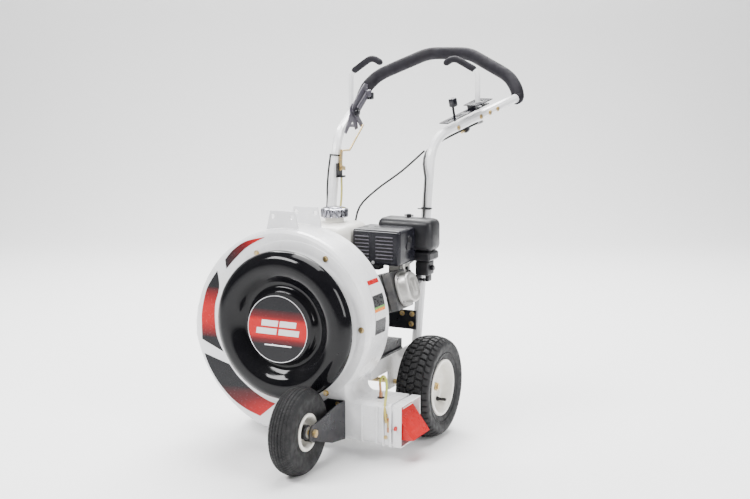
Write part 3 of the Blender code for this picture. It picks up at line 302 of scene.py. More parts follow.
def newFinish(name, specular=.5):
    mat = bpy.data.materials.new(name)
    mat.use_nodes = True
    nodes = mat.node_tree.nodes
    nodes["Principled BSDF"].inputs["Specular IOR Level"].default_value = specular
    return mat, nodes, mat.node_tree.links, nodes["Principled BSDF"]


def spanned(nodes, links, value, *span):
    # a value between the span's first two numbers moved to between its last two
    node = nodes.new("ShaderNodeMapRange")
    for socket, number in zip(("From Min", "From Max", "To Min", "To Max"), span):
        node.inputs[socket].default_value = number
    links.new(value, node.inputs["Value"])
    return node.outputs["Result"]


def makeFinish(name, base, second, rough, patch, grain, depth, metallic=0.0, coat=0.0, specular=.5,
               dust=0.0, dustColour=(.2, .2, .2), cells=False):
    mat, nodes, links, shader = newFinish(name, specular)
    for socket, number in (("Metallic", metallic), ("Coat Weight", coat), ("Coat Roughness", .08)):
        shader.inputs[socket].default_value = number
    place = nodes.new("ShaderNodeTexCoord")

    def noise(scale, detail):
        node = nodes.new("ShaderNodeTexNoise")
        node.inputs["Scale"].default_value = scale
        node.inputs["Detail"].default_value = detail
        links.new(place.outputs["Object"], node.inputs["Vector"])
        return node.outputs["Fac"]

    def blended(share, a, b):
        node = nodes.new("ShaderNodeMix")
        node.data_type = "RGBA"
        links.new(share, node.inputs["Factor"])
        for socket, colour in ((6, a), (7, b)):
            if isinstance(colour, tuple):
                node.inputs[socket].default_value = (*colour, 1)
            else:
                links.new(colour, node.inputs[socket])
        return node.outputs[2]

    colour = blended(spanned(nodes, links, noise(patch, 5), .38, .62, 0, 1), base, second)
    if dust:
        split = nodes.new("ShaderNodeSeparateXYZ")
        links.new(place.outputs["Object"], split.inputs["Vector"])
        low = spanned(nodes, links, split.outputs["Z"], 0.0, dustTop, dust, dust * .12)
        speckle = nodes.new("ShaderNodeMath")
        speckle.operation = "MULTIPLY"
        links.new(low, speckle.inputs[0])
        links.new(spanned(nodes, links, noise(patch * 2.3, 6), .42, .7, 0.0, 1.6), speckle.inputs[1])
        colour = blended(speckle.outputs["Value"], colour, dustColour)
    links.new(colour, shader.inputs["Base Color"])
    sheen = spanned(nodes, links, noise(patch * 1.7, 4), .35, .65, *rough)
    links.new(sheen, shader.inputs["Roughness"])
    if cells:
        pores = nodes.new("ShaderNodeTexVoronoi")
        pores.inputs["Scale"].default_value = grain * .5
        links.new(place.outputs["Object"], pores.inputs["Vector"])
        height = pores.outputs["Distance"]
    else:
        height = noise(grain, 3)
    bump = nodes.new("ShaderNodeBump")
    bump.inputs["Strength"].default_value = .6
    bump.inputs["Distance"].default_value = depth
    links.new(height, bump.inputs["Height"])
    links.new(bump.outputs["Normal"], shader.inputs["Normal"])
    return mat


finish = {name: makeFinish(name, **settings) for name, settings in finishes.items()}


def bandedFinish(name, source, stops, rough=.25, specular=.25, interpolation="LINEAR"):
    # colours laid along one coordinate: "U" or "V" of the piece's own map, or ("Z", low, high) in metres
    mat, nodes, links, shader = newFinish(name, specular)
    place, split, ramp = [nodes.new(kind) for kind in
                          ("ShaderNodeTexCoord", "ShaderNodeSeparateXYZ", "ShaderNodeValToRGB")]
    if isinstance(source, str):
        links.new(place.outputs["UV"], split.inputs["Vector"])
        value = split.outputs["X" if source == "U" else "Y"]
    else:
        links.new(place.outputs["Object"], split.inputs["Vector"])
        value = spanned(nodes, links, split.outputs[source[0]], *source[1:], 0, 1)
    ramp.color_ramp.interpolation = interpolation
    for k, (position, colour) in enumerate(stops):
        stop = ramp.color_ramp.elements[k] if k < 2 else ramp.color_ramp.elements.new(position)
        stop.position = position
        stop.color = (*colour, 1)
    links.new(value, ramp.inputs["Fac"])
    speckle, mix = nodes.new("ShaderNodeTexNoise"), nodes.new("ShaderNodeMix")
    speckle.inputs["Scale"].default_value = 160
    links.new(place.outputs["Object"], speckle.inputs["Vector"])
    wear = spanned(nodes, links, speckle.outputs["Fac"], .4, .7, rough, rough + .15)
    links.new(wear, shader.inputs["Roughness"])
    mix.data_type = "RGBA"
    mix.blend_type = "MULTIPLY"
    mix.inputs["Factor"].default_value = .12
    links.new(ramp.outputs["Color"], mix.inputs[6])
    links.new(speckle.outputs["Color"], mix.inputs[7])
    links.new(mix.outputs[2], shader.inputs["Base Color"])
    finish[name] = mat
    return name


print("finishes made:", len(finish))

# tyres: lugs counted round the rim and columns across the tread
tyres = {
    "rear": dict(radius=.161, width=.125, rim=.0905, lugs=44, lugDepth=.006, columns=5, stagger=.5,
                 treadShare=.97, grooves=.12, skew=.16, steps=528, cut=1.0),
    "front": dict(radius=.13, width=.086, rim=.056, lugs=76, lugDepth=.003, columns=7, stagger=.5,
                  treadShare=.8, grooves=.24, skew=.06, steps=608, cut=.45),
}


def smoothStep(x, low, high):
    # 3 s^2 - 2 s^3, where s is the share of the way from low to high
    s = np.clip((x - low) / (high - low), 0, 1)
    return s * s * (3 - 2 * s)


def tyrePart(centre, radius, width, rim, lugs, lugDepth, columns, stagger, treadShare, grooves, skew, steps,
             cut):
    # section: axial = -half cos t, radial from the bead to the crown as sin t to a power, then the inside
    half, bead = width / 2 - .0006, width * .36
    t = np.linspace(0.0, math.pi, 104)
    bulge = np.sin(t) ** .42
    axial = -np.cos(t) * (bead + (half - bead) * np.clip(np.sin(t) ** .5 * 1.35, 0, 1))
    radial = rim + .001 + (radius - rim - .0012) * bulge
    inner = np.array([(rim + .001, bead - .008), (rim + .02, half - .01), (radius - .012, half * .5),
                      (radius - .012, -half * .5), (rim + .02, -half + .01),
                      (rim + .001, -bead + .008)])
    profile = np.concatenate([np.stack([radial, axial], -1), inner, [[radial[0], axial[0]]]])
    outer = np.arange(len(profile)) < len(t)

    def tread(r, a, angle):
        # r less lugDepth where there is no block: blocks repeat round the tyre and step over between columns
        across = (a / half / treadShare + 1) / 2 * columns
        row = np.floor(np.clip(across, 0, columns - .001))
        phase = (angle / math.tau * lugs + stagger * (row % 2) + skew * np.sin(a / half * 6)) % 1
        inRow = across % 1
        lateral = smoothStep(phase, .05, .17) * (1 - smoothStep(phase, .83, .95))
        middle = smoothStep(inRow, .02, grooves) * (1 - smoothStep(inRow, 1 - grooves, .98))
        block = (1 - cut + cut * lateral) * middle
        crown = smoothStep(r, radius - .3 * (radius - rim), radius - .12 * (radius - rim)) * outer
        return r - lugDepth * crown * (1 - block), a
    return turned(profile, centre, "X", steps, tread)


rims = {
    "rear": dict(rim=.0905, bead=.045, hub=.022, hubHalf=.019, bore=.0085),
    "front": dict(rim=.056, bead=.031, hub=.019, hubHalf=.0344, bore=.0085),
}


def rimPart(centre, rim, bead, hub, hubHalf, bore):
    # rolled lip, a well between the beads, a dished disc and a hub, mirrored about the middle
    lip, edge = rim - .0004, bead + .0038
    half = [(bore, hubHalf), (hub - .002, hubHalf), (hub, hubHalf - .002), (hub, .011),
            (hub + .003, .008), (rim * .55, .0075), (rim * .62, .0085), (rim - .021, .01),
            (rim - .017, .014), (rim - .0155, .02), (rim - .0125, edge - .005),
            (rim - .0095, edge - .0008), (rim - .006, edge), (lip - .002, edge - .0006),
            (lip, edge - .0026), (lip, bead - .006), (rim - .008, bead - .014), (rim - .0105, .012)]
    other = [(r, -a) for r, a in reversed(half)]
    return turned(half + other + [half[0]], centre, "X", 120)


valveStem = dict(out=.008, aside=.42, drop=.56, profile=[
    (0, 0), (.0075, 0), (.007, .004), (.0045, .01), (.0042, .018), (.005, .019), (.005, .03),
    (.0042, .033), (0, .033)])
frontSleeve = [(.0086, -.0342), (.018, -.0342), (.0215, -.03), (.0215, .03), (.018, .0342),
               (.0086, .0342), (.0086, -.0342)]

for wheel, kind in (("front", "front"), ("rear_left", "rear"), ("rear_right", "rear")):
    body = wheel + "_wheel"
    middle = centreOf(wheel + "_tyre")
    addPiece(wheel + "_tyre_lugged", [tyrePart(middle, **tyres[kind])], ["rubber"],
             [wheel + "_tyre"], body=body, angle=50)
    sign = -1 if wheel == "rear_right" else 1
    rim = rims[kind]["rim"]
    stemAt = middle + np.array([sign * valveStem["out"], valveStem["aside"] * rim, -valveStem["drop"] * rim])
    parts = [rimPart(middle, **rims[kind]),
             turned(valveStem["profile"], stemAt, np.array([sign, 0, 0]), 24, material=1)]
    if kind == "front":
        parts.append(turned(frontSleeve, middle, "X", 48, material=1))
    addPiece(wheel + "_rim_pressed", parts, ["rimWhite", "mouldedBlack"], [wheel + "_rim"], body=body,
             angle=35)
print("wheels made")

# fan housing, its marks and its inlet
fanX, fanZ, plateY = -.047, .397, .2
fanAt = at(fanX, plateY, fanZ)

for node in ("fan_housing_front", "fan_housing_scroll", "fan_housing_back", "lift_tab_front",
             "lift_tab_rear"):
    refined(node, "whitePaint", angle=28)


def polar(rows):
    # rows of (degrees round the fan, radius) as x, z points
    rows = np.asarray(rows, float)
    angle = np.radians(rows[:, 0])
    return np.stack([fanX + rows[:, 1] * np.cos(angle), fanZ + rows[:, 1] * np.sin(angle)], -1)


def closedStrip(outside, inside, u, v):
    # one surface out and back, its two ends drawn together at their middles
    shell = np.concatenate([outside, inside[:, ::-1]], 1)
    uv = np.stack([np.concatenate([u, u], 1), np.concatenate([v, v[:, ::-1]], 1)], -1)
    first, last = [np.broadcast_to(shell[k].mean(0), (1,) + shell.shape[1:]) for k in (0, -1)]
    return gridPart(np.concatenate([first, shell, last]), uv=np.concatenate([uv[:1], uv, uv[-1:]]))


def plateMark(outer, inner, front, back, count=60, across=10):
    # point = outer(s) (1 - v) + inner(s) v, on a plane just in front of the plate
    s, v = np.linspace(0, 1, count), np.linspace(0, 1, across)
    edges = [curveThrough(polar(rows), count) for rows in (outer, inner)]
    flat = edges[0][:, None] * (1 - v[:, None]) + edges[1][:, None] * v[:, None]
    sides = [np.stack([flat[..., 0], np.full(flat.shape[:2], y), flat[..., 1]], -1) + machineOrigin
             for y in (front, back)]
    uGrid, vGrid = np.meshgrid(s, v, indexing="ij")
    return closedStrip(*sides, uGrid, vGrid)


black, red, darkRed = (.003, .003, .005), (.46, .002, .004), (.12, .002, .004)
pale = (.72, .71, .71)
marks = {
    "upper": dict(outer=[(143.1, .2937), (134.5, .2929), (123.3, .2866), (109.7, .2728)],
                  inner=[(147.3, .2744), (136.7, .2697), (123.9, .2705), (109.9, .2721)],
                  source="U",
                  stops=[(0.0, black), (.28, (.03, .006, .008)), (.6, darkRed), (.85, red)]),
    "middle": dict(outer=[(152.2, .299), (164.8, .3138), (177.7, .3232), (185.7, .3277), (194.5, .3363)],
                   inner=[(152.4, .2977), (161.6, .2726), (175.2, .2767), (192.6, .2793), (205.3, .2742)],
                   source=("Z", .3, .52), stops=[(0.0, black), (.1, black), (.34, red), (.56, red),
                                                 (.84, black)]),
    "lower": dict(outer=[(202.1, .3434), (209.3, .3455), (219.4, .3451), (230.4, .3434), (240.2, .3371),
                         (249.3, .3305)],
                  inner=[(214.5, .2745), (223.6, .2731), (233.7, .2705), (242, .27), (250.3, .27),
                         (256.9, .269)],
                  source="U", stops=[(0.0, black), (.42, black), (.66, darkRed), (.92, red)]),
}
for name, mark in marks.items():
    skin = bandedFinish("mark " + name, mark["source"], mark["stops"], rough=.16)
    patch = plateMark(mark["outer"], mark["inner"], plateY - .0007, plateY - .00005)
    addPiece("plate_mark_" + name, [patch], [skin])

# the inlet: its ring with bolts, the guard, and the dish in front
inlet = dict(bolts=6, boltCircle=.2372, seat=.0037, boltSizes=(.0066, .0052, .0092))
ringProfile = [(.1502, -.0003), (.1502, -.0053), (.156, -.0087), (.166, -.0093), (.206, -.0093),
               (.214, -.0081), (.22, -.0048), (.226, -.0037), (.249, -.0035), (.2517, -.0025),
               (.2518, -.0003), (.1502, -.0003)]
parts = [turned(ringProfile, fanAt, "Y", 160)]
for turn in np.arange(inlet["bolts"]) * math.tau / inlet["bolts"]:
    spot = fanAt + np.array([math.cos(turn) * inlet["boltCircle"], -inlet["seat"],
                             math.sin(turn) * inlet["boltCircle"]])
    parts.append(hexBolt(spot, (0, -1, 0), *inlet["boltSizes"], material=1))
addPiece("inlet_ring_pressed", parts, ["whitePaint", "yellowZinc"], ["inlet_ring"])
refined("inlet_guard", "blackPaint")

dishPlane, dishRim, dishFront, dishEdge = .1447, .2289, -.0269, .0105
dishFace = [(0, -.012), (.06, -.012), (.1, -.012), (.106, -.0112), (.11, -.0085), (.115, -.003),
            (.12, .0015), (.126, .003), (.134, .001), (.143, -.0055), (.151, -.0125), (.16, -.0195),
            (.17, -.0245), (.18, -.0267), (.19, -.0269), (.2, -.0258), (.209, -.0225), (.217, -.017),
            (.223, -.0105), (.227, -.003), (.229, .005)]
dishBack = [(.2288, .0106), (.2262, .0106), (.224, .000), (.214, -.01), (.198, -.021), (.178, -.0225),
            (.16, -.014), (.146, .001), (.134, .008), (.12, .0085), (.11, -.003), (.102, -.008),
            (0, -.008)]
formed = curveThrough(dishFace, 120)
formed = np.stack([np.clip(formed[:, 0], 0, dishRim), np.clip(formed[:, 1], dishFront, dishEdge)], -1)
dish = turned(np.concatenate([formed, dishBack]), at(fanX, dishPlane, fanZ), "Y", 200)
addPiece("inlet_dish_formed", [dish], ["glossBlack"], ["inlet_dish"], angle=60)

# the badge: a thin disc with a silver ring, and plain slanted bars in place of words
badge = dict(x=-.0585, z=.389, radius=.102, thickness=.0008, lift=.0005, lean=.18)
badgeY = dishPlane - .012 - badge["thickness"]
badgeAt = at(badge["x"], badgeY, badge["z"])
edge = badge["radius"]
disc = [(0, 0), (edge * .5, 0), (edge, 0), (edge + .0005, .0004), (edge + .0005, badge["thickness"]),
        (0, badge["thickness"])]
hoop = [(edge - .001, .0001), (edge - .0008, -.0004), (edge + .0004, -.0004), (edge + .0007, .0006),
        (edge - .001, .0001)]
badgeSkin = bandedFinish("badge", ("Z", badge["z"] - .1, badge["z"] + .1), [
    (0.0, black), (.25, black), (.33, darkRed), (.385, red), (.62, red), (.68, darkRed), (.8, black)],
    rough=.14)
parts = [turned(disc, badgeAt, "Y", 96), turned(hoop, badgeAt, "Y", 96, material=1)]
bars = [  # right of and above the middle, half length, half height, blocks side by side, material
    (.002, .0165, .06, .0092, 2, 2), (.002, -.0085, .074, .0092, 2, 2),
    (.01, -.05, .046, .002, 1, 1)]


def slanted(q):
    # bars lean: x grows with height above the badge's middle
    q = q.copy()
    q[..., 0] += (q[..., 2] - badge["z"]) * badge["lean"]
    return q


for x, z, half, tall, blocks, material in bars:
    for shift in (-1, 1) if blocks == 2 else (0,):
        reach = half * (.47 if blocks == 2 else 1)
        middle = badge["x"] + x + shift * half * .52
        low = at(middle - reach, badgeY - badge["lift"], badge["z"] + z - tall)
        high = at(middle + reach, badgeY + .0002, badge["z"] + z + tall)
        parts += roundedBox(low, high, .0003, 2, slanted, material)
paleMark = bandedFinish("pale mark", ("Z", 0, 1), [(0.0, pale), (1.0, pale)], rough=.3)
addPiece("dish_badge", parts, [badgeSkin, "chrome", paleMark])

# the label on the scroll's side: blocks of colour, no lettering
label = dict(low=-5.2, high=31.6, frontLow=.244, frontHigh=.258, width=.07, lift=.0006, gap=.00005)
scroll = dict(start=.26, growth=.103, power=2.3, first=-10, last=190)


def onScroll(angle, y, lift):
    # radius = start + growth * share ^ power, the share counted from the first angle to the last
    opened = np.clip(angle, scroll["first"], scroll["last"]) - scroll["first"]
    share = opened / (scroll["last"] - scroll["first"])
    radius = scroll["start"] + scroll["growth"] * share ** scroll["power"] + lift
    turn = np.radians(angle)
    return np.stack([fanX + radius * np.cos(turn), y, fanZ + radius * np.sin(turn)], -1) + machineOrigin


u, v = np.meshgrid(np.linspace(0, 1, 64), np.linspace(0, 1, 12), indexing="ij")
angle = label["low"] + (label["high"] - label["low"]) * u
y = label["frontLow"] + (label["frontHigh"] - label["frontLow"]) * u + label["width"] * v
strip = closedStrip(onScroll(angle, y, label["lift"]), onScroll(angle, y, label["gap"]), u, v)
white, grey = (.72, .72, .71), (.03, .03, .032)
green, orange = (.16, .36, .08), (.78, .2, .02)
labelSkin = bandedFinish("side label", "U", [
    (0.0, grey), (.26, white), (.4, orange), (.455, green), (.49, grey), (.7, white), (.74, pale),
    (.9, red), (.985, white)], interpolation="CONSTANT")
addPiece("side_label", [strip], [labelSkin])
print("housing and inlet made")

# chute: ribs, flange bolts, slot, grommet and the flap's loop
refined("deflector_box", "whitePaint", angle=30)
refined("deflector_flap", "redPaint")
chute = dict(low=.056, high=.174, front=.2, ribs=(.193, .243), ribWidth=.007, ribDepth=.0035,
             edges=((.2625, .008), (.286, .0095)), bolts=(.147, .08),
             boltSizes=(.0046, .004, .0062))


def onChute(left, right, front, back, low, high, radius, steps=3, material=0):
    # a block on the chute, its front and back counted forward from the chute's front
    return roundedBox(at(left, chute["front"] - front, low), at(right, chute["front"] - back, high), radius,
                      steps, material=material)


low, high = chute["low"], chute["high"]
parts = [onChute(x - chute["ribWidth"], x, chute["ribDepth"], .0002, low, high, .0015, 4)
         for x in chute["ribs"]]
parts += [onChute(x - .002, x + .002, deep, .0002, low - .002, high + .002, .0009)
          for x, deep in chute["edges"]]
parts.append(onChute(.2655, .284, .0022, .0003, low, high, .0009))
for z in chute["bolts"]:
    spot = at(.2705, chute["front"] - .0022, z)
    parts.append(hexBolt(spot, (0, -1, 0), *chute["boltSizes"], material=1))
parts.append(onChute(.2745, .2825, .0058, .0022, .096, .14, .001, material=2))
parts.append(onChute(.277, .2822, .0084, .005, .112, .13, .001, material=1))
addPiece("chute_ribs_and_flange", parts, ["whitePaint", "yellowZinc", "copper"])
boxSlot = roundedBox(at(.3176, .214, .168), at(.3187, .292, .1722), .0005, 3)
addPiece("box_slot", boxSlot, ["bareSteel"])
pin = dict(place=(.3027, .1985, .1095), profile=[
    (0, 0), (.0042, 0), (.005, .002), (.005, .007), (.0034, .0092), (0, .0096)])
addPiece("red_pin", [turned(pin["profile"], at(*pin["place"]), (0, -1, 0), 28)], ["redPlastic"])
loop = dict(radius=.004, spacing=.003)
loopPoints = [(.222, .264, .179), (.2215, .262, .205), (.2235, .256, .23), (.233, .25, .248),
              (.245, .244, .249), (.2555, .234, .23), (.261, .219, .202), (.265, .201, .174),
              (.27, .1925, .15), (.274, .1918, .126)]
loopPath = evenly(curveThrough(loopPoints, 120), loop["spacing"]) + machineOrigin
loopSkin = bandedFinish("loop", "U", [(0.0, (.45, .2, .1)), (.2, (.5, .26, .12)),
                                      (.26, (.46, .44, .06)), (.55, (.38, .42, .08)),
                                      (.8, (.5, .42, .1)), (1.0, (.42, .3, .1))])
addPiece("flap_loop", [carried(loopPath, ringSection(loop["radius"], 20), up=(.2, 1, .1))], [loopSkin],
         ["deflector_cable_loop"], angle=60)
stub = at(.222, .264, .178)
washerProfile = [(.0036, .0002), (.0105, .0002), (.012, .0012), (.0112, .0026), (.006, .0032),
                 (.0036, .0026), (.0036, .0002)]
ferrule = [(0, .0002), (.0058, .0002), (.0058, .016), (.005, .018), (0, .0184)]
parts = [turned(washerProfile, stub, "Z", 40), turned(ferrule, stub, "Z", 28, material=1)]
addPiece("cable_grommet", parts, ["mouldedBlack", "copper"])
print("chute made")

# frame, deck, fork and axles
for node in ("frame_rail_left", "frame_rail_right", "handle_left", "handle_right"):
    refined(node, "whitePaint", angle=35)
for node in ("engine_deck", "front_fork", "rear_cross_plate", "cable_anchor"):
    refined(node, "blackPaint", angle=30)
for node in ("front_axle", "rear_axle", "bell_crank"):
    refined(node, "yellowZinc", angle=30)
refined("deflector_rod", "yellowZinc", angle=40, grow=.001)
plateBolt, forkBolt = (.0065, .0052, .009), (.0055, .0046, .0078)
frameBolts = [((.1105, .1963, .163), forkBolt), ((.132, .6149, .363), plateBolt),
              ((.167, .6149, .363), plateBolt), ((.164, .6149, .33), plateBolt)]
parts = [hexBolt(at(*place), (0, -1, 0), *sizes) for place, sizes in frameBolts]
addPiece("frame_bolts", parts, ["yellowZinc"])

# handles: arms with their bolts, the padded arch, the horns
armFoot, armEnd = np.array([.175, .75, .925]), np.array([.302, 1.2, 1.042])
armRun = (armEnd - armFoot) / np.linalg.norm(armEnd - armFoot)
mirror = np.array([-1.0, 1.0, 1.0])


def onArm(sign, share, lift=0.0):
    # along the arm by a share of its length, and raised square to it
    up = np.array([0, 0, 1.0]) - armRun * armRun[2]
    spot = armFoot + (armEnd - armFoot) * share + up / np.linalg.norm(up) * lift
    return spot * (mirror if sign < 0 else 1)


def roundedPath(points, bend, count=9):
    # each corner becomes the curve p (1-t)^2 + 2 corner t (1-t) + q t^2 between points bend away from it
    points = [np.asarray(p, float) for p in points]
    path = [points[0][None]]
    for before, corner, after in zip(points, points[1:], points[2:]):
        back, on = before - corner, after - corner
        p = corner + back / np.linalg.norm(back) * min(bend, np.linalg.norm(back) * .45)
        q = corner + on / np.linalg.norm(on) * min(bend, np.linalg.norm(on) * .45)
        t = np.linspace(0, 1, count)[:, None]
        path.append(p * (1 - t) ** 2 + 2 * corner * t * (1 - t) + q * t ** 2)
    return np.concatenate(path + [points[-1][None]])


grip = dict(radius=.0228, bend=.038, spacing=.006, seam=.0014, sides=40, drop=.0017)
half = [armEnd + armRun * .0006, armEnd + armRun * .018, armEnd + (-.006, .028, .036),
        armEnd + (-.044, .053, .078), armEnd + (-.221, .111, .158)]
archPath = evenly(roundedPath(half + [p * mirror for p in reversed(half)], grip["bend"]), grip["spacing"]) \
    + machineOrigin - (0, 0, grip["drop"])
around = np.linspace(0, math.tau, grip["sides"], endpoint=False)
seamed = grip["radius"] - grip["seam"] * np.exp(-((around - math.pi * .62) / .1) ** 2)
section = np.stack([np.cos(around), np.sin(around)], -1) * seamed[:, None]
along = np.linspace(0, 1, len(archPath))
swell = 1 - .07 * np.exp(-(np.minimum(along, 1 - along) / .012) ** 2)
parts = [carried(archPath, section, scale=swell)]
button = dict(place=(.012, 1.318, 1.178), profile=[
    (0, -.0062), (.0052, -.0056), (.0066, 0), (.0052, .0086), (0, .0098)])
parts.append(turned(button["profile"], at(*button["place"]), (.5, -.5, -.7), 28, material=1))
addPiece("arch_grip_padded", parts, ["foam", "mouldedBlack"], ["arch_grip"], angle=70)

horn = dict(strut=.0088, pad=.0114, bend=.022, spacing=.004, share=.54, lift=.0207, inward=.086,
            peak=1.186, tipInward=.124, tip=1.164)
for side, sign, cornerZ in (("left", 1, 1.141), ("right", -1, 1.13)):
    root = onArm(sign, horn["share"], horn["lift"])
    corner = np.array([root[0] - sign * .001, root[1] - .003, cornerZ])
    peak = np.array([root[0] - sign * horn["inward"], root[1] - .008, horn["peak"]])
    tip = np.array([root[0] - sign * horn["tipInward"], root[1] - .003, horn["tip"]])
    whole = evenly(roundedPath([root, corner, peak, tip], horn["bend"]), horn["spacing"]) + machineOrigin
    cornerAt = int(np.argmin(np.linalg.norm(whole - (corner + machineOrigin), axis=1)))
    pad = whole[cornerAt + 1:]
    # the pad's ends round off as sqrt(1 - (1 - steps from the end)^2)
    ends = np.minimum(np.arange(len(pad)), np.arange(len(pad))[::-1]) / 3
    taper = np.sqrt(np.clip(1 - np.clip(1 - ends, 0, 1) ** 2, .16, 1))
    parts = [carried(whole[:cornerAt + 3], ringSection(horn["strut"]), up=(0, 1, .1)),
             carried(pad, ringSection(horn["pad"]), up=(0, 1, .1), scale=taper, material=1)]
    addPiece("horn_grip_" + side + "_padded", parts, ["whitePaint", "foam"], ["horn_grip_" + side], angle=60)

armBolts = dict(shares=(.263, .529, .637, .732), reach=.0152, sizes=(.006, .0044, .0086))
outwards, under = np.array([.963, -.27, 0]), np.array([0, 0, -1.0])
parts = [hexBolt(onArm(1, share) + machineOrigin + outwards * armBolts["reach"], outwards,
                 *armBolts["sizes"]) for share in armBolts["shares"]]
hung = [  # share of the arm, drop below it, sides, material, profile
    (.36, .026, 6, 0, [(0, -.01), (.0056, -.01), (.0056, .001), (.004, .003), (.004, .012), (0, .012)]),
    (.36, .026, 28, 1, [(0, .008), (.0085, .008), (.0098, .012), (.009, .022), (.0058, .03), (0, .031)]),
    (.56, .024, 24, 2, [(0, -.03), (.0022, -.03), (.0022, -.012), (.0052, -.01), (.0052, .01),
                        (.0038, .014), (0, .014)])]
parts += [turned(profile, onArm(1, share) + under * drop + machineOrigin, armRun, sides, material=material)
          for share, drop, sides, material, profile in hung]
addPiece("arm_fittings", parts, ["yellowZinc", "mouldedBlack", "bareSteel"])

# cables, and the ties that hold them to the posts
for node in ("throttle_cable", "stop_cable", "ignition_cable"):
    refined(node, "cableBlack", angle=60, grow=.0009)
refined("deflector_cable", "cableYellow", angle=60, grow=.0009)
postFoot, postTop = np.array([.175, .625, .215]), np.array([.175, .75, .925])
postRun = (postTop - postFoot) / np.linalg.norm(postTop - postFoot)


def onPost(sign, height):
    spot = postFoot + (postTop - postFoot) * (height - postFoot[2]) / (postTop[2] - postFoot[2])
    return spot * (mirror if sign < 0 else 1)


tieHeights = {-1: .858, 1: .7}
tieBand = [(.0163, -.0022), (.0182, -.0022), (.0182, .0022), (.0163, .0022), (.0163, -.0022)]
parts = [turned(tieBand, onPost(sign, height) + machineOrigin, postRun, 48)
         for sign, height in tieHeights.items()]
tail = onPost(1, tieHeights[1]) + machineOrigin + np.array([0, -.0185, 0])
parts += roundedBox(tail + (-.024, -.002, -.0018), tail + (.022, .001, .0018), .0009, 3)
addPiece("cable_ties", parts, ["mouldedBlack"])

# controls
for node in ("throttle_plate", "throttle_lever"):
    refined(node, "satinBlack")
for node in ("deflector_bracket", "deflector_lever"):
    refined(node, "leverGrey")
lever = dict(pivot=(-.1548, .836, 1.000), tip=(-.1548, .924, 1.0625), first=.012, last=.098,
             spacing=.006, aside=.01, half=(.0036, .0125), bossX=-.144)
pivot = np.array(lever["pivot"])
leverWay = (np.array(lever["tip"]) - pivot) / np.linalg.norm([0, .088, .0625])
leverPath = evenly(np.array([pivot + leverWay * lever["first"], pivot + leverWay * lever["last"]]),
                   lever["spacing"]) + machineOrigin
leverPath[:, 0] += lever["aside"]
t = np.linspace(0, math.tau, 36, endpoint=False)
# an oblong: each half width times the root of cos t or sin t, with its sign kept
oblong = np.stack([half * np.sign(wave) * np.abs(wave) ** .5
                   for half, wave in zip(lever["half"], (np.cos(t), np.sin(t)))], -1)
parts = [carried(leverPath, oblong, up=(0, -.6, .8))]
bossProfile = [(0, 0), (.0145, 0), (.0155, .002), (.015, .006), (.008, .007), (.005, .011), (0, .0112)]
parts.append(turned(bossProfile, at(lever["bossX"], *lever["pivot"][1:]), "X", 40, material=1))
parts += roundedBox(at(-.15, .917, 1.04), at(-.127, .941, 1.0655), .005, 4, material=1)
addPiece("deflector_lever_cover", parts, ["leverGrey", "satinBlack"],
         body="deflector_control")
print("handles and controls made")

# engine
for node in ("air_cleaner_base", "air_cleaner_cover", "fan_cowl", "recoil_starter", "oil_cap", "choke_lever",
             "fuel_tap_lever", "spark_plug_cap", "recoil_handle"):
    refined(node, "mouldedBlack")
refined("carburetor", "castAluminium")
for node in ("crankcase", "cylinder_block"):
    refined(node, "darkCasting")
for node in ("impeller", "crankshaft"):
    refined(node, "bareSteel")
refined("muffler", "blackPaint")
refined("engine_switch", "redPlastic")
refined("fuel_tank", "creamPlastic", angle=40)

tilt = math.radians(17)
boreWay = np.array([math.cos(tilt), 0, math.sin(tilt)])


def squarish(width, height, power=4.0):
    # radius = (|cos t / width| ^ n + |sin t / height| ^ n) ^ (-1 / n), times the profile's share
    def change(r, a, t):
        reach = (np.abs(np.cos(t) / width) ** power + np.abs(np.sin(t) / height) ** power) ** (-1 / power)
        return r * reach, a
    return change


def onBore(distance):
    return at(fanX, .5, fanZ) + boreWay * distance


fins = dict(first=.128, last=.226, step=.0105, shape=(.054, .06, 5), profile=[
    (0, -.0011), (.97, -.0011), (1.0, 0), (.97, .0011), (0, .0011)])
parts = [turned(fins["profile"], onBore(distance), boreWay, 64, squarish(*fins["shape"]))
         for distance in np.arange(fins["first"], fins["last"], fins["step"])]
addPiece("cylinder_fins", parts, ["darkCasting"])
cover = dict(middle=.266, shape=(.049, .056, 2.7), bolts=.2535, boltSizes=(.0042, .004, .0054),
             ridges=.2848)
coverProfile = [(0, -.0205), (.99, -.0205), (1.0, -.019), (1.0, -.014), (.985, -.0128),
                (.9, -.0122), (.885, -.01), (.875, .008), (.85, .0135), (.8, .0168),
                (.74, .018), (.6, .0184), (.56, .0176), (.53, .0176), (.49, .0188), (0, .0192)]
parts = [turned(coverProfile, onBore(cover["middle"]), boreWay, 96, squarish(*cover["shape"]))]
crossWay = np.cross(boreWay, (0, 1.0, 0))
for slip, rise in ((.03, .041), (-.03, .041), (.03, -.041), (-.03, -.041)):
    spot = onBore(cover["bolts"]) + np.array([0, slip * 1.18, 0]) + crossWay * rise * .98
    parts.append(hexBolt(spot, boreWay, *cover["boltSizes"], material=1))
for slip in (-.012, .012):
    spine = onBore(cover["ridges"]) + np.array([0, slip, 0])
    path = spine + crossWay * np.linspace(-.018, .018, 12)[:, None]
    parts.append(carried(path, ringSection(.0022, 16), up=(0, 1, 0)))
addPiece("valve_cover_cast", parts, ["castAluminium", "bareSteel"], ["valve_cover"])

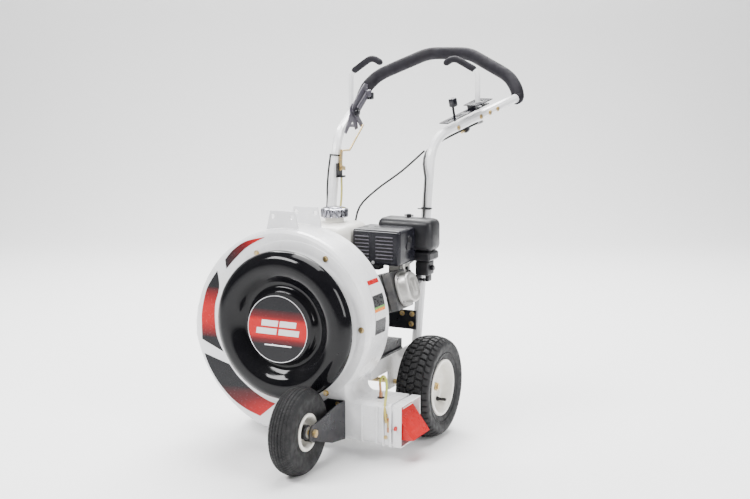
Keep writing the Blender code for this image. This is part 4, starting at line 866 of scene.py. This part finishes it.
guard = dict(low=(.036, .4402, .549), high=(.2018, .566, .66), round=.011)
parts = roundedBox(at(*guard["low"]), at(*guard["high"]), guard["round"], 6)
louvres = dict(rows=7, first=.564, step=.0112, columns=((.049, .095), (.121, .177)), slit=.005,
               lip=.0088)
for low, high in louvres["columns"]:
    for k in range(louvres["rows"]):
        z = louvres["first"] + k * louvres["step"]
        # a dark slab in each slit, in the rubber finish: painted shade of the opening behind the louvre
        parts += roundedBox(at(low, .439, z), at(high, .442, z + louvres["slit"]), .0006, 2, material=1)
        # each louvre's lip is the guard's own steel, drawn in the lighter lever grey as a painted highlight
        # on its edge
        parts += roundedBox(at(low - .0015, .4366, z + louvres["slit"]),
                            at(high + .0015, .443, z + louvres["lip"]), .0016, 4, material=3)
# dark discs in the rubber finish on the guard's top, standing in for holes: painted shade of the holes
topHoleShades = dict(height=.6599, shape=(1.0, .55, 2.4),
                places=((.062, .492), (.092, .506), (.128, .52), (.154, .496), (.108, .47)),
                profile=[(0, -.0004), (.0082, -.0004), (.0088, .0003), (0, .0004)])
parts += [turned(topHoleShades["profile"], at(*place, topHoleShades["height"]), "Z", 28, squarish(*topHoleShades["shape"]),
                 material=1) for place in topHoleShades["places"]]
# the exhaust mouth: a raised rim, and a dark disc in the rubber finish inside it as painted shade of the
# opening
mouth = dict(place=(.2014, .512, .617), shape=(.8, 1.12, 2.6), rim=[
    (0, .0002), (.015, .0002), (.0156, .0018), (.0176, .0022), (.0186, .0002), (.0186, -.002),
    (0, -.002)], holeShade=[(0, .0003), (.015, .0003), (.015, .0008), (0, .001)])
parts += [turned(mouth[part], at(*mouth["place"]), "X", 44, squarish(*mouth["shape"]), material=material)
          for part, material in (("rim", 0), ("holeShade", 1))]
parts.append(hexBolt(at(.1105, .4404, .557), (0, -1, 0), .0042, .003, .0055, material=2))
# slot 1, the rubber finish, is painted shade in the slits and holes; slot 3, the lever grey, is a painted
# highlight on the louvre lips
addPiece("muffler_guard_pressed", parts, ["satinBlack", "rubber", "bareSteel", "leverGrey"],
         ["muffler_guard"])

# small black parts beside the carburetor
fittingBlocks = [((.189, .586, .498), (.234, .64, .5455), .006),
                 ((.19, .578, .47), (.204, .612, .5), .004),
                 ((.216, .606, .476), (.228, .634, .5), .003)]
parts = [roundedBox(at(*low), at(*high), radius, 4) for low, high, radius in fittingBlocks]
parts.append(turned([(0, 0), (.008, 0), (.0086, .002), (.0086, .01), (.007, .012), (0, .0122)],
                    at(.2335, .612, .522), "X", 32))
parts.append(turned([(0, 0), (.0042, 0), (.0042, .01), (.006, .011), (.006, .016), (0, .016)],
                    at(.2035, .596, .484), "X", 24))
addPiece("carburetor_fittings", parts, ["mouldedBlack"])

fuelCap = dict(place=(-.056, .5, .6845), ribs=14, ribDepth=.06, profile=[
    (0, .0002), (.0425, .0002), (.044, .0016), (.0446, .0035), (.0446, .015), (.0446, .024),
    (.0425, .027), (.037, .0292), (.033, .028), (.024, .0284), (.022, .0318),
    (.02, .0328), (0, .0328)])


def ribbed(r, a, t):
    # radius less ribDepth times the cosine of ribs turns, which is cut off below -.1
    rim = (r > .038) & (a > .003) & (a < .027)
    return np.where(rim, r * (1 - fuelCap["ribDepth"] * np.clip(np.cos(t * fuelCap["ribs"]), -.1, 1)), r), a


addPiece("fuel_cap_ribbed", [turned(fuelCap["profile"], at(*fuelCap["place"]), "Z", 192, ribbed)],
         ["smokedChrome"], ["fuel_cap"], body="fuel_cap")
wingNut = dict(place=(.156, .612, .6802), wing=.016, profile=[
    (0, 0), (.009, 0), (.009, .0015), (.0056, .002), (.0056, .01), (.004, .0115), (0, .0116)])
nutAt = at(*wingNut["place"])
parts = [turned(wingNut["profile"], nutAt, "Z", 32)]
for reach in (-wingNut["wing"], wingNut["wing"]):
    parts += roundedBox(nutAt + (min(0, reach), -.0016, .004), nutAt + (max(0, reach), .0016, .0112),
                        .0014, 4)
addPiece("air_cleaner_wing_nut", parts, ["bareSteel"])
seam = dict(left=-.2002, right=.0302, front=.3622, back=.5852, height=.592, bend=.03, section=[
    (-.001, -.0024), (.0016, -.002), (.0016, .002), (-.001, .0024)])
corners = [(seam[x], seam[y], seam["height"]) for x, y in (
    ("left", "front"), ("right", "front"), ("right", "back"), ("left", "back"), ("left", "front"))]
bandPath = evenly(roundedPath(corners, seam["bend"], 12), .006) + machineOrigin
parts = [carried(bandPath, seam["section"])]
addPiece("tank_seam", parts, ["creamPlastic"])
print("engine made")

# floor, light and camera
shot = dict(offset=(1.7225, -3.0558, 1.2334), tilt=80.71, turn=25.79, lens=60.42)
studio = dict(key=300, fill=150, top=340, back=420, ambient=.22, tone=.95, bend=1.6, depth=3.6, wall=5.0,
              reach=14.0)

# one sheet of floor that curls up behind: y = depth + bend sin t, z = bend (1 - cos t) along the curl
curl = np.linspace(0, math.pi / 2, 24)
run = np.concatenate([[[-studio["reach"], 0.0]], np.stack([studio["depth"] + studio["bend"] * np.sin(curl),
                                                           studio["bend"] * (1 - np.cos(curl))], -1),
                      [[studio["depth"] + studio["bend"], studio["wall"]]]])
across = np.linspace(-studio["reach"], studio["reach"], 8)
sheet = np.stack(np.broadcast_arrays(across, run[:, :1], run[:, 1:]), -1)
floorPart = gridPart(sheet, closeColumns=False)
floorMesh = bpy.data.meshes.new("floor")
floorMesh.from_pydata(floorPart["points"].tolist(), [], floorPart["faces"].tolist())
floorMesh.shade_smooth()
floor = placed("floor", floorMesh)
floor.rotation_euler = (0, 0, math.radians(shot["turn"]))
floorSkin, _, _, floorShader = newFinish("floor")
floorShader.inputs["Base Color"].default_value = (studio["tone"],) * 3 + (1,)
floorShader.inputs["Roughness"].default_value = .7
floorMesh.materials.append(floorSkin)

world = bpy.data.worlds.new("studio")
world.use_nodes = True
world.node_tree.nodes["Background"].inputs["Color"].default_value = (1.0, 1.0, 1.0, 1)
world.node_tree.nodes["Background"].inputs["Strength"].default_value = studio["ambient"]
bpy.context.scene.world = world

target = np.array([.02, 0.0, .55])


def softLight(name, place, size, power):
    light = bpy.data.lights.new(name, "AREA")
    light.shape = "RECTANGLE"
    light.size, light.size_y = size
    light.energy = power
    lamp = placed(name, light)
    back, side, up = frameAlong(np.asarray(place) - target)
    lamp.matrix_world = Matrix([[side[k], up[k], back[k], place[k]] for k in range(3)] + [[0, 0, 0, 1]])


softLight("key", (-1.9, -3.0, 3.6), (2.2, 1.2), studio["key"])
softLight("fill", (3.8, -1.4, 2.2), (1.4, 2.6), studio["fill"])
softLight("top", (.2, .4, 4.4), (3.6, 2.6), studio["top"])
softLight("back", (-1.2, 2.6, 3.6), (3.4, 1.6), studio["back"])

camera = placed("camera", bpy.data.cameras.new("camera"))
camera.data.lens = shot["lens"]
camera.data.sensor_width = 36
camera.location = tuple(machineOrigin + np.array([frontWheelX, 0, 0]) + np.array(shot["offset"]))
camera.rotation_euler = (math.radians(shot["tilt"]), 0, math.radians(shot["turn"]))
bpy.context.scene.camera = camera
print("studio set")
